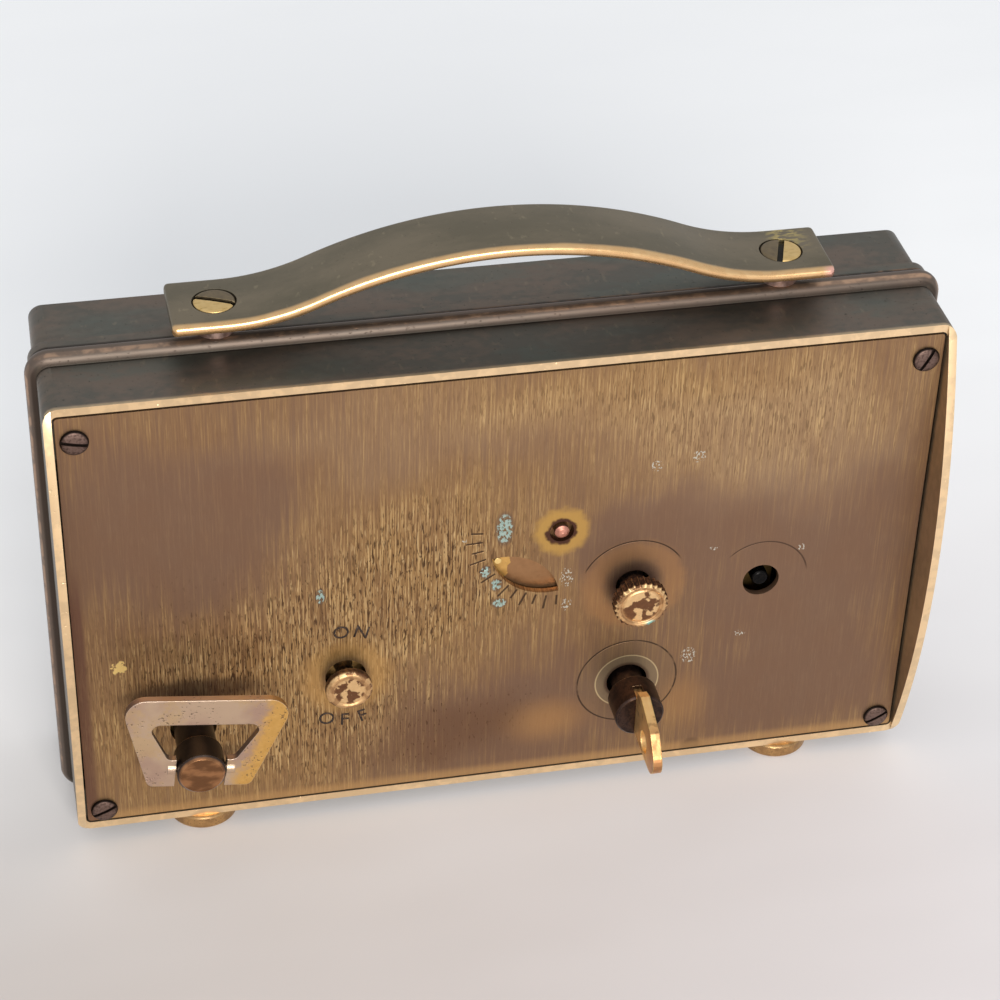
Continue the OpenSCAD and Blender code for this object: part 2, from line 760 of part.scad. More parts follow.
module rear_shell() {
    color(worn_brass) placed() difference() {
        union() {
            difference() {
                union() {
                    slab(joint_d - collar_w, joint_d)
                        inset(case_w + 2 * collar_out, case_h + 2 * collar_out, corner_r + collar_out);
                    bead();
                    for (x = handle_x2) translate([x, -handle_d, case_h - 1])
                        cylinder(h = bead_out + 1, r = joint_d - handle_d, $fn = 48);
                    intersection() {
                        slab(-cheek_bow - 1, joint_d) rounded(case_w, case_h, corner_r);
                        side_slab(-case_w / 2 - 1, case_w / 2 + 1)
                            translate([cheek_bow - cheek_r, case_h / 2]) circle(cheek_r, $fn = 720);
                    }
                }
                slab(-cheek_bow - 2, joint_d + 1) inset(in_w, in_h, in_r);
                slab(-cheek_bow - 2, 0) square([in_w, 3 * case_h], center = true);
            }
            intersection() {
                slab(back_t, lug_d) for (p = plate_screws)
                    translate([p[0] - lug_w / 2, p[1] - lug_w / 2]) square(lug_w);
                slab(back_t, lug_d) rounded(case_w, case_h, corner_r);
            }
        }
        for (p = plate_screws) rod(p, plate_thread_r + fit_gap, 0, lug_d + 1);
        for (x = handle_x2) translate([x, -handle_d, case_h - 5])
            cylinder(h = 10, r = handle_thread_r + fit_gap, $fn = 48);
        for (s = [-1, 1]) translate([s * foot_x, -foot_rear_d, -1])
            cylinder(h = 5, r = foot_stud_r + fit_gap, $fn = 48);
    }
}

module front_shell() {
    color(worn_brass) placed() difference() {
        union() {
            difference() {
                slab(joint_d, case_d) rounded(case_w, case_h, corner_r);
                slab(joint_d - 1, front_in)
                    inset(case_w - 2 * front_wall, case_h - 2 * front_wall, corner_r - front_wall);
            }
            difference() {
                union() {
                    slab(joint_d - lip_len, joint_d + 2) inset(lip_w, lip_h, lip_r);
                    slab(joint_d, joint_d + 2) inset(case_w - front_wall, case_h - front_wall, lip_r);
                }
                slab(joint_d - lip_len - 1, joint_d + 3)
                    inset(lip_w - 2 * lip_t, lip_h - 2 * lip_t, lip_r / 2);
                for (x = handle_x2) translate([x - nut_room, lip_len - joint_d - 6, case_h - 7])
                    cube([2 * nut_room, 6, 7 - front_wall]);
                translate([-time_x - 10, lip_len - joint_d - 6, front_wall]) cube([20, 6, 3]);
            }
            for (p = plate_screws) rod(p, case_post_r, lug_d, front_in + 0.5);
            for (p = pillar_spots) rod(p, boss_r, front_face, front_in + 0.5);
            for (p = bed_screws) rod(p, boss_r, bed_f, front_in + 0.5);
        }
        for (p = plate_screws) rod(p, plate_thread_r, lug_d - 1, back_t + plate_thread_l + 3);
        for (p = pillar_spots) rod(p, small_thread_r, front_face - 1, front_face + 3);
        for (p = bed_screws) rod(p, small_thread_r, bed_f - 1, bed_d + small_thread_l + 0.5);
        rod(time_p, dial_open_r, front_in - 1, case_d + 1);
        slab(front_in - 1, case_d + 1) translate([grille_x + 1, grille_z + 1])
            square([grille_w - 2, grille_h - 2]);
        for (s = [-1, 1]) translate([s * foot_x, -foot_front_y, -1])
            cylinder(h = 5, r = foot_stud_r + fit_gap, $fn = 48);
    }
}

// Lens-shaped window from a chord and its two bulges.
module lens(half, up, down) {
    r1 = (half * half + up * up) / (2 * up);
    r2 = (half * half + down * down) / (2 * down);
    intersection() {
        translate([up - r1, 0]) circle(r1, $fn = 180);
        translate([r2 - down, 0]) circle(r2, $fn = 180);
    }
}

module back_plate() {
    color(brass) placed() difference() {
        slab(0, back_t) inset(plate_w, plate_h, in_r - back_gap);
        for (p = plate_screws) rod(p, plate_thread_r + fit_gap, -1, back_t + 1);
        rod(time_p, time_hole_r, -1, back_t + 1);
        rod(barrel_p, wind_hole_r, -1, back_t + 1);
        rod(alarm_p, alarm_hole_r, -1, back_t + 1);
        rod(pull_p, pull_hole_r, -1, back_t + 1);
        rod(music_p, music_hole_r, -1, back_t + 1);
        rod(regulator_p, regulator_hole_r, -1, back_t + 1);
        at3(regulator_p) slab(-1, back_t + 1) rotate(window_turn) translate([window_mid, 0])
            lens(window_half, window_out, window_in);
    }
}

module back_plate_screws() {
    color(dark_metal) placed() for (i = [0:3])
        slotted_screw(plate_screws[i], 0, plate_head_r, plate_head_h, plate_thread_r,
            back_t + plate_thread_l, slot_w, 35 + 50 * i);
}

// Part of a ring between two angles.
module arc_band(c, r1, r2, a1, a2) {
    translate(c) intersection() {
        difference() {
            circle(r2, $fn = 360);
            circle(r1, $fn = 360);
        }
        polygon([[0, 0], polar(3 * r2, a1), polar(3 * r2, a2)]);
    }
}

// Points along an arc. It may run either way.
function arc(c, r, a1, a2, n) = [for (i = [0:n]) c + polar(r, a1 + (a2 - a1) * i / n)];

// Upper or lower line of the strap's hump and of the two bends where it meets the flat ends.
function strap_line(up) = concat(
    arc([-hump_reach, handle_t + bend_r], bend_r - up, -90, hump_lean - 93, 7),
    arc([0, handle_t + hump_h - hump_r], hump_r + up, 90 + hump_lean, 90 - hump_lean, 28),
    arc([hump_reach, handle_t + bend_r], bend_r - up, -87 - hump_lean, -90, 7));

module handle_strap() {
    color(bright_brass) placed() difference() {
        intersection() {
            translate([handle_x, 0, strap_z])
                slab(handle_d - handle_w / 2, handle_d + handle_w / 2)
                polygon(concat([[-handle_len / 2, handle_t]], strap_line(0),
                    [[handle_len / 2, handle_t], [handle_len / 2, 0]],
                    back_to_front(strap_line(-handle_t)), [[-handle_len / 2, 0]]));
            translate([handle_x, -handle_d - handle_w / 2, strap_z - 1])
                linear_extrude(hump_h + handle_t + 2)
                rounded(handle_len, handle_w, handle_corner_r);
        }
        for (x = handle_x2) translate([x, -handle_d, strap_z - 1]) {
            cylinder(h = handle_t + 2, r = handle_thread_r + fit_gap, $fn = 48);
            translate([0, 0, handle_t + 1 - handle_sink])
                cylinder(h = handle_sink + 1, r = handle_head_r + handle_sink_gap, $fn = 48);
        }
    }
}

module handle_screws() {
    seat = strap_z + handle_t - handle_sink;
    color(brass) placed() for (i = [0:1]) translate([handle_x2[i], -handle_d, seat])
        rotate([90, 0, 0]) slotted_screw([0, 0], 0, handle_head_r, handle_head_h, handle_thread_r,
            seat - case_h + rear_wall + nut_h + 0.5, 0.9, 20 + 40 * i);
}

module handle_spacers() {
    color(worn_brass) placed() for (x = handle_x2) translate([x, -handle_d, bead_top]) difference() {
        cylinder(h = spacer_h, r = spacer_r, $fn = 48);
        translate([0, 0, -1]) cylinder(h = spacer_h + 2, r = handle_thread_r + fit_gap, $fn = 48);
    }
}

module nut(x, d, z, bore) {
    translate([x, -d, z]) difference() {
        cylinder(h = nut_h, r = nut_r, $fn = 6);
        translate([0, 0, -1]) cylinder(h = nut_h + 2, r = bore, $fn = 48);
    }
}

module case_nuts() {
    color(steel) placed() {
        for (x = handle_x2) nut(x, handle_d, case_h - rear_wall - nut_h, handle_thread_r);
        for (s = [-1, 1]) {
            nut(s * foot_x, foot_rear_d, rear_wall, foot_stud_r);
            nut(s * foot_x, foot_front_y, front_wall, foot_stud_r);
        }
    }
}

module feet() {
    color(worn_brass) placed() for (p = foot_spots) translate([p[0], -p[1], 0]) {
        rotate_extrude($fn = 64) polygon([[0, -foot_h], [foot_r - 0.5, -foot_h],
            [foot_r, 0.5 - foot_h], [foot_r, -0.3], [foot_r - 0.3, 0], [0, 0]]);
        translate([0, 0, -0.5]) cylinder(h = rear_wall + nut_h + 1, r = foot_stud_r, $fn = 48);
    }
}

// Front of the case

module dial_bezel() {
    f = case_d + bezel_h;
    lip = glass_d + glass_t + 0.05;
    color(bright_brass) placed() turned(time_p, [[glass_r - 0.9, lip], [glass_r - 0.9, f - 0.4],
        [glass_r, f], [glass_r + 2.5, f], [bezel_r - 0.5, case_d + 1], [bezel_r, case_d + 0.5],
        [bezel_r, case_d], [sleeve_r, case_d], [sleeve_r, dial_d + dial_t + 0.3],
        [glass_r + fit_gap / 2, dial_d + dial_t + 0.3], [glass_r + fit_gap / 2, lip]]);
}

function dome(t) = [for (i = [0:8]) [glass_r * i / 8, glass_d + t + glass_dome * (1 - i * i / 64)]];
function back_to_front(v) = [for (i = [len(v) - 1:-1:0]) v[i]];

module dial_glass() {
    color([0.8, 0.85, 0.85, 0.4]) placed()
        turned(time_p, concat(dome(0), back_to_front(dome(glass_t))));
}

module dial_plate() {
    color("ivory") placed() difference() {
        union() {
            rod(time_p, dial_r, dial_d, dial_d + dial_t);
            for (p = dial_feet) rod(p, dial_foot_r, front_face_in, dial_d + 0.1);
        }
        rod(time_p, alarm_out + 0.4, dial_d - 1, dial_d + dial_t + 1);
    }
}

module grille() {
    pitch = (grille_h - 6) / (grille_bars + 1);
    w = grille_w - 6;
    color(brass) placed() difference() {
        union() {
            slab(front_in - 0.8, front_in) translate([grille_x - 0.5, grille_z - 0.5])
                square([grille_w + 1, grille_h + 1]);
            slab(front_in - 0.1, case_d + 0.4)
                translate([grille_x + 1 + fit_gap, grille_z + 1 + fit_gap])
                square([grille_w - 2 - 2 * fit_gap, grille_h - 2 - 2 * fit_gap]);
        }
        for (i = [0:grille_bars]) slab(front_in - 2, case_d + 1)
            translate([grille_x + 3, grille_z + 3 + i * pitch + grille_bar_w / 2])
            square([w, pitch - grille_bar_w]);
    }
}

// Hand that points in the direction a.
module hand(d, bore, reach, w, a) {
    at3(time_p) slab(d, d + hand_t) difference() {
        rotate(a) {
            circle(bore + 1.1, $fn = 48);
            polygon([[0, -w], [reach * 0.75, -w * 0.7], [reach, 0], [reach * 0.75, w * 0.7], [0, w],
                [-bore - 3, w * 0.6], [-bore - 3, -w * 0.6]]);
        }
        circle(bore, $fn = 48);
    }
}

module hour_hand() {
    color("black") placed() hand(hour_hand_d, hour_out, hour_len, 0.9, 145);
}

module minute_hand() {
    color("black") placed() hand(minute_hand_d, centre_r, minute_len, 0.7, 30);
}

module alarm_hand() {
    color("black") placed() hand(alarm_hand_d, alarm_out, alarm_len, 0.5, -120);
}

// Clock movement

module clock_outline() {
    translate([-clock_left, clock_low]) square([clock_left + clock_right, clock_high - clock_low]);
}

train_spots = [third_p, fourth_p, escape_p, pallet_p];

module clock_front_plate() {
    color(brass) placed() {
        difference() {
            slab(front_face_in, front_face) clock_outline();
            for (p = pillar_spots) rod(p, small_thread_r, front_face_in - 1, front_face + 1);
            for (p = dial_feet) rod(p, dial_foot_r, front_face_in - 1, front_face + 1);
            for (p = concat(train_spots, [regulator_p]))
                rod(p, pivot_r + pivot_gap, front_face_in - 1, front_face + 1);
            rod(barrel_p, 1.2 + pivot_gap, front_face_in - 1, front_face + 1);
            rod(time_p, centre_r + pivot_gap, front_face_in - 1, front_face + 1);
            rod(alarm_p, 1 + pivot_gap, front_face_in - 1, front_face + 1);
        }
        rod(minute_p, arbor_r, front_face - 0.2, level_b + level_t + 0.1);
        rod(lever_p, centre_r, front_face - 0.2, level_a + level_t + 0.4);
    }
}

module clock_back_plate() {
    color(brass) placed() {
        difference() {
            slab(rear_plate_d, rear_in) clock_outline();
            for (p = concat(pillar_spots, [cock_foot_p]))
                rod(p, small_thread_r + fit_gap, rear_plate_d - 1, rear_in + 1);
            for (p = train_spots) rod(p, pivot_r + pivot_gap, rear_plate_d - 1, rear_in + 1);
            rod(regulator_p, 1.2, rear_plate_d - 1, rear_in + 1);
            rod(barrel_p, key_arbor_r + pivot_gap, rear_plate_d - 1, rear_in + 1);
            rod(time_p, centre_r + pivot_gap, rear_plate_d - 1, rear_in + 1);
            rod(alarm_p, 1 + pivot_gap, rear_plate_d - 1, rear_in + 1);
        }
        rod(click_p, centre_r, ratchet_d - 0.5, rear_plate_d + 0.2);
    }
}

module clock_pillars() {
    color(steel) placed() for (p = pillar_spots) difference() {
        union() {
            rod(p, pillar_r, rear_in, front_face_in);
            rod(p, small_thread_r, front_face_in - 0.2, front_face + 2.8);
        }
        rod(p, small_thread_r, rear_in - 1, rear_plate_d + small_thread_l + 0.5);
    }
}

bracket_screws = [[left_bracket + bracket_t + foot_l / 2 + 0.3, music_z],
    [right_bracket - foot_l / 2 - 0.3, music_z]];
frame_screws = [[governor_x, frame_low - 1.8], [governor_x, frame_high + 2.8]];
comb_screws = [for (s = [0.2, 0.8]) [comb_x + s * comb_w, comb_z + comb_h / 2]];

module movement_screws() {
    color(steel) placed() {
        for (i = [0:3]) {
            movement_screw(pillar_spots[i], rear_plate_d, 30 + 40 * i);
            movement_screw(bed_screws[i], bed_d, 80 + 30 * i);
        }
        movement_screw(cock_foot_p, cock_d + cock_seat, 15);
        for (i = [0:1]) {
            front_screw(bracket_screws[i], bed_f + 1, 20 + 50 * i);
            front_screw(frame_screws[i], bed_f + 1, 65 - 50 * i);
            front_screw(comb_screws[i], comb_d + comb_t, 10 + 60 * i);
        }
    }
}

module mainspring_barrel() {
    color(brass) placed() difference() {
        union() {
            at3(barrel_p) slab(great_d, great_d + 1) polygon(toothed(barrel_n, great_m, 0, wheel_tooth));
            rod(barrel_p, barrel_r, drum_rear_d, great_d + 0.1);
        }
        rod(barrel_p, barrel_r - drum_wall, drum_rear_d + drum_wall, great_d);
        rod(barrel_p, key_arbor_r + pivot_gap, drum_rear_d - 1, great_d + 2);
    }
}

module barrel_arbor() {
    color(steel) placed() {
        rod(barrel_p, key_arbor_r, 3.4 - wind_barrel_l, front_face_in - end_shake);
        rod(barrel_p, 1.2, front_face_in - 0.5, front_face);
        rod(barrel_p, hub_r, drum_rear_d + drum_wall + 0.2, great_d - 0.2);
    }
}

module mainspring() {
    color(steel) placed() at3(barrel_p) slab(drum_rear_d + drum_wall + 0.3, great_d - 0.3)
        spiral(hub_r + 0.1, barrel_r - drum_wall - 0.5, mainspring_turns, 0.4, 0);
}

module ratchet_wheel() {
    color(steel) placed() at3(barrel_p) slab(ratchet_d, ratchet_d + ratchet_t) difference() {
        polygon([for (i = [0:ratchet_n - 1], k = [0:1])
            polar(ratchet_r - k * 1.1, (i + k * 0.12) * 360 / ratchet_n)]);
        circle(key_arbor_r, $fn = 48);
    }
}

module ratchet_click() {
    nose = barrel_p + polar(ratchet_r + 0.8, click_turn + 180 - 30);
    color(steel) placed() slab(ratchet_d + 0.1, ratchet_d + ratchet_t - 0.1) difference() {
        union() {
            link(click_p, nose, 1.2);
            translate(click_p) circle(1.9, $fn = 48);
        }
        translate(click_p) circle(centre_r + pivot_gap, $fn = 48);
    }
}

module click_spring() {
    post = click_p + [2, -6.4];
    color(steel) placed() {
        rod(post, 1.3, ratchet_d, rear_plate_d);
        slab(ratchet_d + 0.2, ratchet_d + 0.9) link(post, click_p + [-4.4, -3.4], 0.4);
    }
}

module center_wheel() {
    color(brass) placed() difference() {
        union() {
            rod(time_p, 1.5, rear_in + end_shake, front_face_in - end_shake);
            train_wheel(time_p, centre_n, centre_m, rear_in + 0.3, wheel_t, 3, 5);
            pinion(time_p, centre_leaves, great_m, meshed(90, 0, barrel_n, centre_leaves),
                great_d - 0.2, great_d + 1.1);
        }
        rod(time_p, centre_r + pivot_gap, rear_in - 1, front_face);
    }
}

module third_wheel() {
    color(brass) placed() {
        train_arbor(third_p);
        pinion(third_p, pinion_n, centre_m, meshed(third_turn, 0, centre_n, pinion_n),
            rear_in + 0.2, rear_in + 1.3);
        train_wheel(third_p, third_n, third_m, third_d, wheel_t, 2, 4);
    }
}

module fourth_wheel() {
    color(brass) placed() {
        train_arbor(fourth_p);
        pinion(fourth_p, pinion_n, third_m, meshed(fourth_turn, 0, third_n, pinion_n),
            third_d - 0.4, third_d + 1.1);
        train_wheel(fourth_p, fourth_n, fourth_m, fourth_d, wheel_t, 2, 4);
    }
}

module escape_wheel() {
    color(brass) placed() {
        rod(escape_p, pivot_r, rear_plate_d, front_face);
        pinion(escape_p, escape_leaves, fourth_m, meshed(escape_turn, 0, fourth_n, escape_leaves),
            fourth_d - 0.4, fourth_d + 1.1);
        at3(escape_p) slab(escape_d, escape_d + wheel_t) difference() {
            polygon([for (i = [0:escape_n - 1], k = [0:2])
                polar([escape_r, 4.2, 4.2][k], (i + [0, 0.12, 0.85][k]) * 360 / escape_n)]);
            crossings(1.4, 3.4, 4, 0.8);
        }
    }
}

module pallet_lever() {
    color(steel) placed() {
        train_arbor(pallet_p);
        slab(escape_d, escape_d + wheel_t) {
            arc_band(escape_p, anchor_in, anchor_out, lever_turn - 50, lever_turn + 50);
            difference() {
                link(pallet_p - polar(0.8, lever_turn), pallet_p + polar(fork_l - 0.5, lever_turn), 1.3);
                translate(pallet_p) rotate(lever_turn) translate([fork_l - 0.9, -0.3]) square([2, 0.6]);
            }
        }
    }
}

module balance_wheel() {
    color(brass) placed() {
        rod(regulator_p, 0.6, cock_d + cock_t + end_shake, front_face_in - end_shake);
        rod(regulator_p, 0.3, cock_d + 0.9, cock_d + cock_t + 0.2);
        rod(regulator_p, pivot_r, front_face_in - 0.2, front_face);
        rod(regulator_p, 1.1, hairspring_d - 0.1, balance_d + 1);
        at3(regulator_p) slab(balance_d, balance_d + 1) difference() {
            circle(balance_r, $fn = 96);
            crossings(1, balance_r - 1, 2, 1.6);
        }
        rod(regulator_p, impulse_r + 0.4, escape_d - 1.1, escape_d - 0.5);
        rod(regulator_p + polar(impulse_r, lever_turn + 180), 0.2, escape_d - 0.6, escape_d + 0.8);
    }
}

module hairspring() {
    color(steel) placed() at3(regulator_p) slab(hairspring_d, hairspring_d + hairspring_h)
        spiral(1.2, hairspring_r, hairspring_turns, 0.15, cock_turn);
}

module balance_cock() {
    color(brass) placed() difference() {
        union() {
            slab(cock_d, cock_d + cock_t) link(regulator_p, cock_foot_p, 5);
            rod(cock_foot_p, 2.5, cock_d, rear_plate_d);
            rod(regulator_p + polar(hairspring_r + 0.15 + 0.5, cock_turn), 0.5, cock_d + 0.5,
                hairspring_d + hairspring_h);
        }
        rod(cock_foot_p, small_head_r + fit_gap, cock_d - 1, cock_d + cock_seat);
        rod(cock_foot_p, small_thread_r, cock_d, rear_plate_d + 1);
        rod(regulator_p, 0.3 + pivot_gap, cock_d + 0.8, cock_d + cock_t + 1);
        rod(regulator_p, arbor_r + pivot_gap, cock_d - 1, cock_d + 0.6);
    }
}

module regulator_disc() {
    color(brass) placed() {
        rod(regulator_p, regulator_r, disc_d, disc_d + disc_t);
        rod(regulator_p, arbor_r, disc_d + 0.2, cock_d + 0.5);
        turned(regulator_p, [[0, -0.7], [regulator_pin_r * 0.6, -0.55], [regulator_pin_r, -0.1],
            [regulator_pin_r, disc_d + 0.1], [0, disc_d + 0.1]]);
        rod(regulator_p + polar(lug_out, window_turn + lug_turn), finger_lug_r, 0.2, disc_d + 0.1);
    }
}

module winding_key() {
    b = wind_barrel_l;
    c = b - wind_barrel_t;
    color(dark_metal) placed() difference() {
        union() {
            turned(barrel_p, [[0, -b], [wind_barrel_r - 0.3, -b], [wind_barrel_r, 0.3 - b],
                [wind_barrel_r, -c], [0, -c]]);
            rod(barrel_p, wind_shank_r, -c - 0.5, 3.4);
        }
        rod(barrel_p, key_arbor_r, 3.4 - b, 4);
        translate([barrel_p[0] - wing_t / 2, b - 3, barrel_p[1] - 2 * wind_barrel_r])
            cube([wing_t, 4, 4 * wind_barrel_r]);
    }
}

module winding_key_wing() {
    b = wind_barrel_l;
    r = 3;
    top = wing_up;
    low = -wing_down;
    end = [wing_out - r, low + r];
    edge = [wing_out - r - 0.5, top - 2.7];
    t = side_turn(edge, 0.5, end, r);
    x = barrel_p[0] - wing_t / 2;
    color(bright_brass) placed() translate([0, 0, barrel_p[1]]) difference() {
        side_slab(x, x + wing_t) polygon(concat([[b - 3, 3.6], [b + 0.2, 3.6],
            [b + 0.2, top - 0.8], [b + 2.4, top]], arc(edge, 0.5, 75, t, 4), arc(end, r, t, -90, 12),
            [[b + 0.2, low], [b + 0.2, -3.6], [b - 3, -3.6]]));
        cross_rod([b + 5.9, -0.8], wing_hole_r, x - 1, x + wing_t + 1);
    }
}

// Motion work behind the dial

module center_arbor() {
    color(steel) placed() {
        rod(time_p, centre_r, 1.5 - time_knob_out, arbor_end_d);
        rod(time_p, cannon_r, level_a - 0.3, minute_hand_d);
        pinion(time_p, cannon_n, cannon_m, 0, level_a - 0.1, level_a + level_t + 0.1);
    }
}

module minute_wheel() {
    color(brass) placed() difference() {
        union() {
            at3(minute_p) slab(level_a, level_a + level_t)
                polygon(toothed(minute_n, cannon_m, meshed(-90, 0, cannon_n, minute_n), wheel_tooth));
            pinion(minute_p, minute_leaves, hour_m, 90, level_a + 0.5, level_b + level_t + 0.1);
        }
        rod(minute_p, arbor_r + pivot_gap, level_a - 1, level_c);
    }
}

module hour_wheel() {
    color(brass) placed() difference() {
        union() {
            at3(time_p) slab(level_b, level_b + level_t)
                polygon(toothed(hour_n, hour_m, meshed(90, 90, minute_leaves, hour_n), wheel_tooth));
            rod(time_p, hour_out, level_b - 0.2, hour_hand_d + hand_t + 0.1);
        }
        rod(time_p, hour_in, level_a, minute_hand_d + 1);
    }
}

module alarm_wheel() {
    color(brass) placed() difference() {
        union() {
            at3(time_p) slab(level_c, level_c + level_t) difference() {
                polygon(toothed(alarm_n, alarm_m, 0, wheel_tooth));
                crossings(5, alarm_n * alarm_m / 2 - 3, 4, 2);
            }
            rod(time_p, alarm_out, level_c - 0.2, alarm_hand_d + hand_t + 0.1);
        }
        rod(time_p, alarm_in, level_b, minute_hand_d);
    }
}

module time_set_knob() {
    o = time_knob_out;
    color(worn_brass) placed() difference() {
        union() {
            at3(time_p) slab(-o, time_knob_t - o) polygon([for (i = [0:knurl_n - 1], k = [0:3])
                polar(time_knob_r - [0, 0, 0.35, 0.35][k], (i + [0, 0.4, 0.5, 0.9][k]) * 360 / knurl_n)]);
            rod(time_p, time_stem_r + 0.5, time_knob_t - o - 0.1, -0.7);
            rod(time_p, time_stem_r, time_knob_t - o, 3);
        }
        rod(time_p, time_knob_r - 1.3, -o - 1, 0.4 - o);
        rod(time_p, centre_r, 1.5 - o, 4);
    }
}

module alarm_set_arbor() {
    color(steel) placed() {
        turned(alarm_p, [[0, 0.4], [alarm_end_r - 0.3, 0.4], [alarm_end_r, 0.7],
            [alarm_end_r, rear_plate_d - 0.6], [0, rear_plate_d - 0.6]]);
        rod(alarm_p, 1, rear_plate_d - 1, level_c + level_t + 0.4);
        rod(alarm_p, 1.6, rear_in + end_shake, front_face_in - end_shake);
        pinion(alarm_p, alarm_leaves, alarm_m, meshed(alarm_turn, 0, alarm_n, alarm_leaves),
            level_c - 0.1, level_c + level_t + 0.1);
    }
}

module alarm_lever() {
    tip = lever_tip - [0.5, 0];
    color(steel) placed() {
        slab(level_a, level_a + level_t) difference() {
            union() {
                link(lever_p, tip, 1.4);
                link(lever_p, lever_p + [-14, -3], 2);
                translate(lever_p) circle(2.6, $fn = 48);
                translate(tip) circle(1, $fn = 48);
            }
            translate(lever_p) circle(centre_r + pivot_gap, $fn = 48);
        }
        rod(tip, 0.6, axis_d - 1, level_a + 0.4);
    }
}

// Music movement

module music_bedplate() {
    color(worn_brass) placed() difference() {
        union() {
            slab(bed_d, bed_f) translate([bed_left, bed_low])
                square([bed_right - bed_left, bed_high - bed_low]);
            slab(bed_f - 0.2, comb_d) translate([comb_x - 0.8, comb_z])
                square([comb_w + 1.6, comb_h]);
            for (s = [-1, 1]) slab(bed_f - 0.2, stop_d + 1.4)
                translate([stop_x - 1.5, stop_z + s * 2 - 0.5]) square([3, 1]);
        }
        slab(bed_d - 1, bed_f + 1) translate([plate_screw_x - case_post_r - 0.3, 0])
            square([9, plate_screw_low + case_post_r + 0.3]);
        translate([stop_x, -stop_d, stop_z - 4]) cylinder(h = 8, r = pivot_r + pivot_gap, $fn = 48);
        rod(pull_p, pull_rod_r + fit_gap, bed_d - 1, bed_f + 1);
        rod(music_p, key_arbor_r + pivot_gap, bed_d - 1, bed_f + 1);
        for (p = bed_screws) rod(p, small_thread_r + fit_gap, bed_d - 1, bed_f + 1);
        for (p = concat(bracket_screws, frame_screws)) rod(p, small_thread_r, bed_d - 1, bed_f + 1);
        for (p = comb_screws) rod(p, small_thread_r, comb_d + comb_t - small_thread_l - 0.3, comb_d + 1);
    }
}

module music_drum() {
    color(brass) placed() difference() {
        union() {
            rod(music_p, drum_r, drum_d, drum_f);
            at3(music_p) for (i = [0:crown_n - 1]) rotate([0, 180 + i * 360 / crown_n, 0])
                side_slab(crown_r - crown_w / 2, crown_r + crown_w / 2)
                polygon([[-drum_f + 0.1, -0.36], [-drum_f - crown_h, -0.12],
                    [-drum_f - crown_h, 0.12], [-drum_f + 0.1, 0.36]]);
        }
        rod(music_p, drum_r - 0.6, drum_d + 0.6, drum_f - 1);
        rod(music_p, key_arbor_r + pivot_gap, drum_d - 1, drum_f + 1);
    }
}

module music_spring() {
    color(steel) placed() at3(music_p) slab(drum_d + 0.9, drum_f - 1.3)
        spiral(2.7, drum_r - 1.1, mainspring_turns, 0.4, 0);
}

module music_arbor() {
    color(steel) placed() {
        rod(music_p, key_arbor_r, 1 - music_shank_l, drum_f + 0.9);
        rod(music_p, 2.8, bed_f + 0.05, drum_d - 0.1);
        rod(music_p, 2.6, drum_d + 0.8, drum_f - 1.2);
    }
}

module music_cylinder() {
    color(brass) placed() {
        difference() {
            cross_rod(cylinder_p, cylinder_r, cylinder_x, cylinder_x + cylinder_l);
            cross_rod(cylinder_p, cylinder_r - cylinder_wall, cylinder_x + 1, cylinder_x + cylinder_l - 1);
        }
        cross_rod(cylinder_p, shaft_r, drive_x - 0.3, gear_x + 1.2);
        side_slab(drive_x, drive_x + drive_w) translate(cylinder_p)
            polygon(toothed(drive_n, drive_m, 0, wheel_tooth));
        side_slab(gear_x - 1, gear_x + 1) translate(cylinder_p)
            polygon(toothed(cylinder_leaves, crown_m, 180 / cylinder_leaves, leaf_tooth));
        for (i = [0:pin_count - 1])
            translate([comb_x + 0.65 + pitch_x * (i * 7 % comb_n), cylinder_p[0], cylinder_p[1]])
            rotate([i * 360 / pin_count, 0, 0]) translate([0, 0, cylinder_r - 0.3])
            cylinder(h = pin_h + 0.3, r = 0.15, $fn = 6);
    }
}

module cylinder_brackets() {
    color(brass) placed() for (k = [[left_bracket, 0], [right_bracket, 1]]) difference() {
        union() {
            side_slab(k[0], k[0] + bracket_t) {
                translate([-axis_d, music_z - bracket_w / 2]) square([axis_d - bed_f, bracket_w]);
                translate(cylinder_p) circle(bracket_w / 2, $fn = 48);
            }
            slab(bed_f, bed_f + 1)
                translate([k[0] + bracket_t / 2 - k[1] * foot_l, music_z - bracket_w / 2])
                square([foot_l, bracket_w]);
        }
        cross_rod(cylinder_p, shaft_r + pivot_gap, k[0] - 1, k[0] + bracket_t + 1);
        for (p = bracket_screws) rod(p, small_thread_r + fit_gap, bed_f - 1, bed_f + 2);
    }
}

module music_comb() {
    color(steel) placed() difference() {
        slab(comb_d, comb_d + comb_t) {
            translate([comb_x, comb_root]) square([comb_w, comb_z + comb_h - comb_root]);
            for (i = [0:comb_n - 1]) translate([comb_x + 0.65 + pitch_x * i - 0.32, comb_tip])
                square([0.64, comb_root - comb_tip + 0.5]);
        }
        for (p = comb_screws) rod(p, small_thread_r + fit_gap, comb_d - 1, comb_d + 2);
    }
}

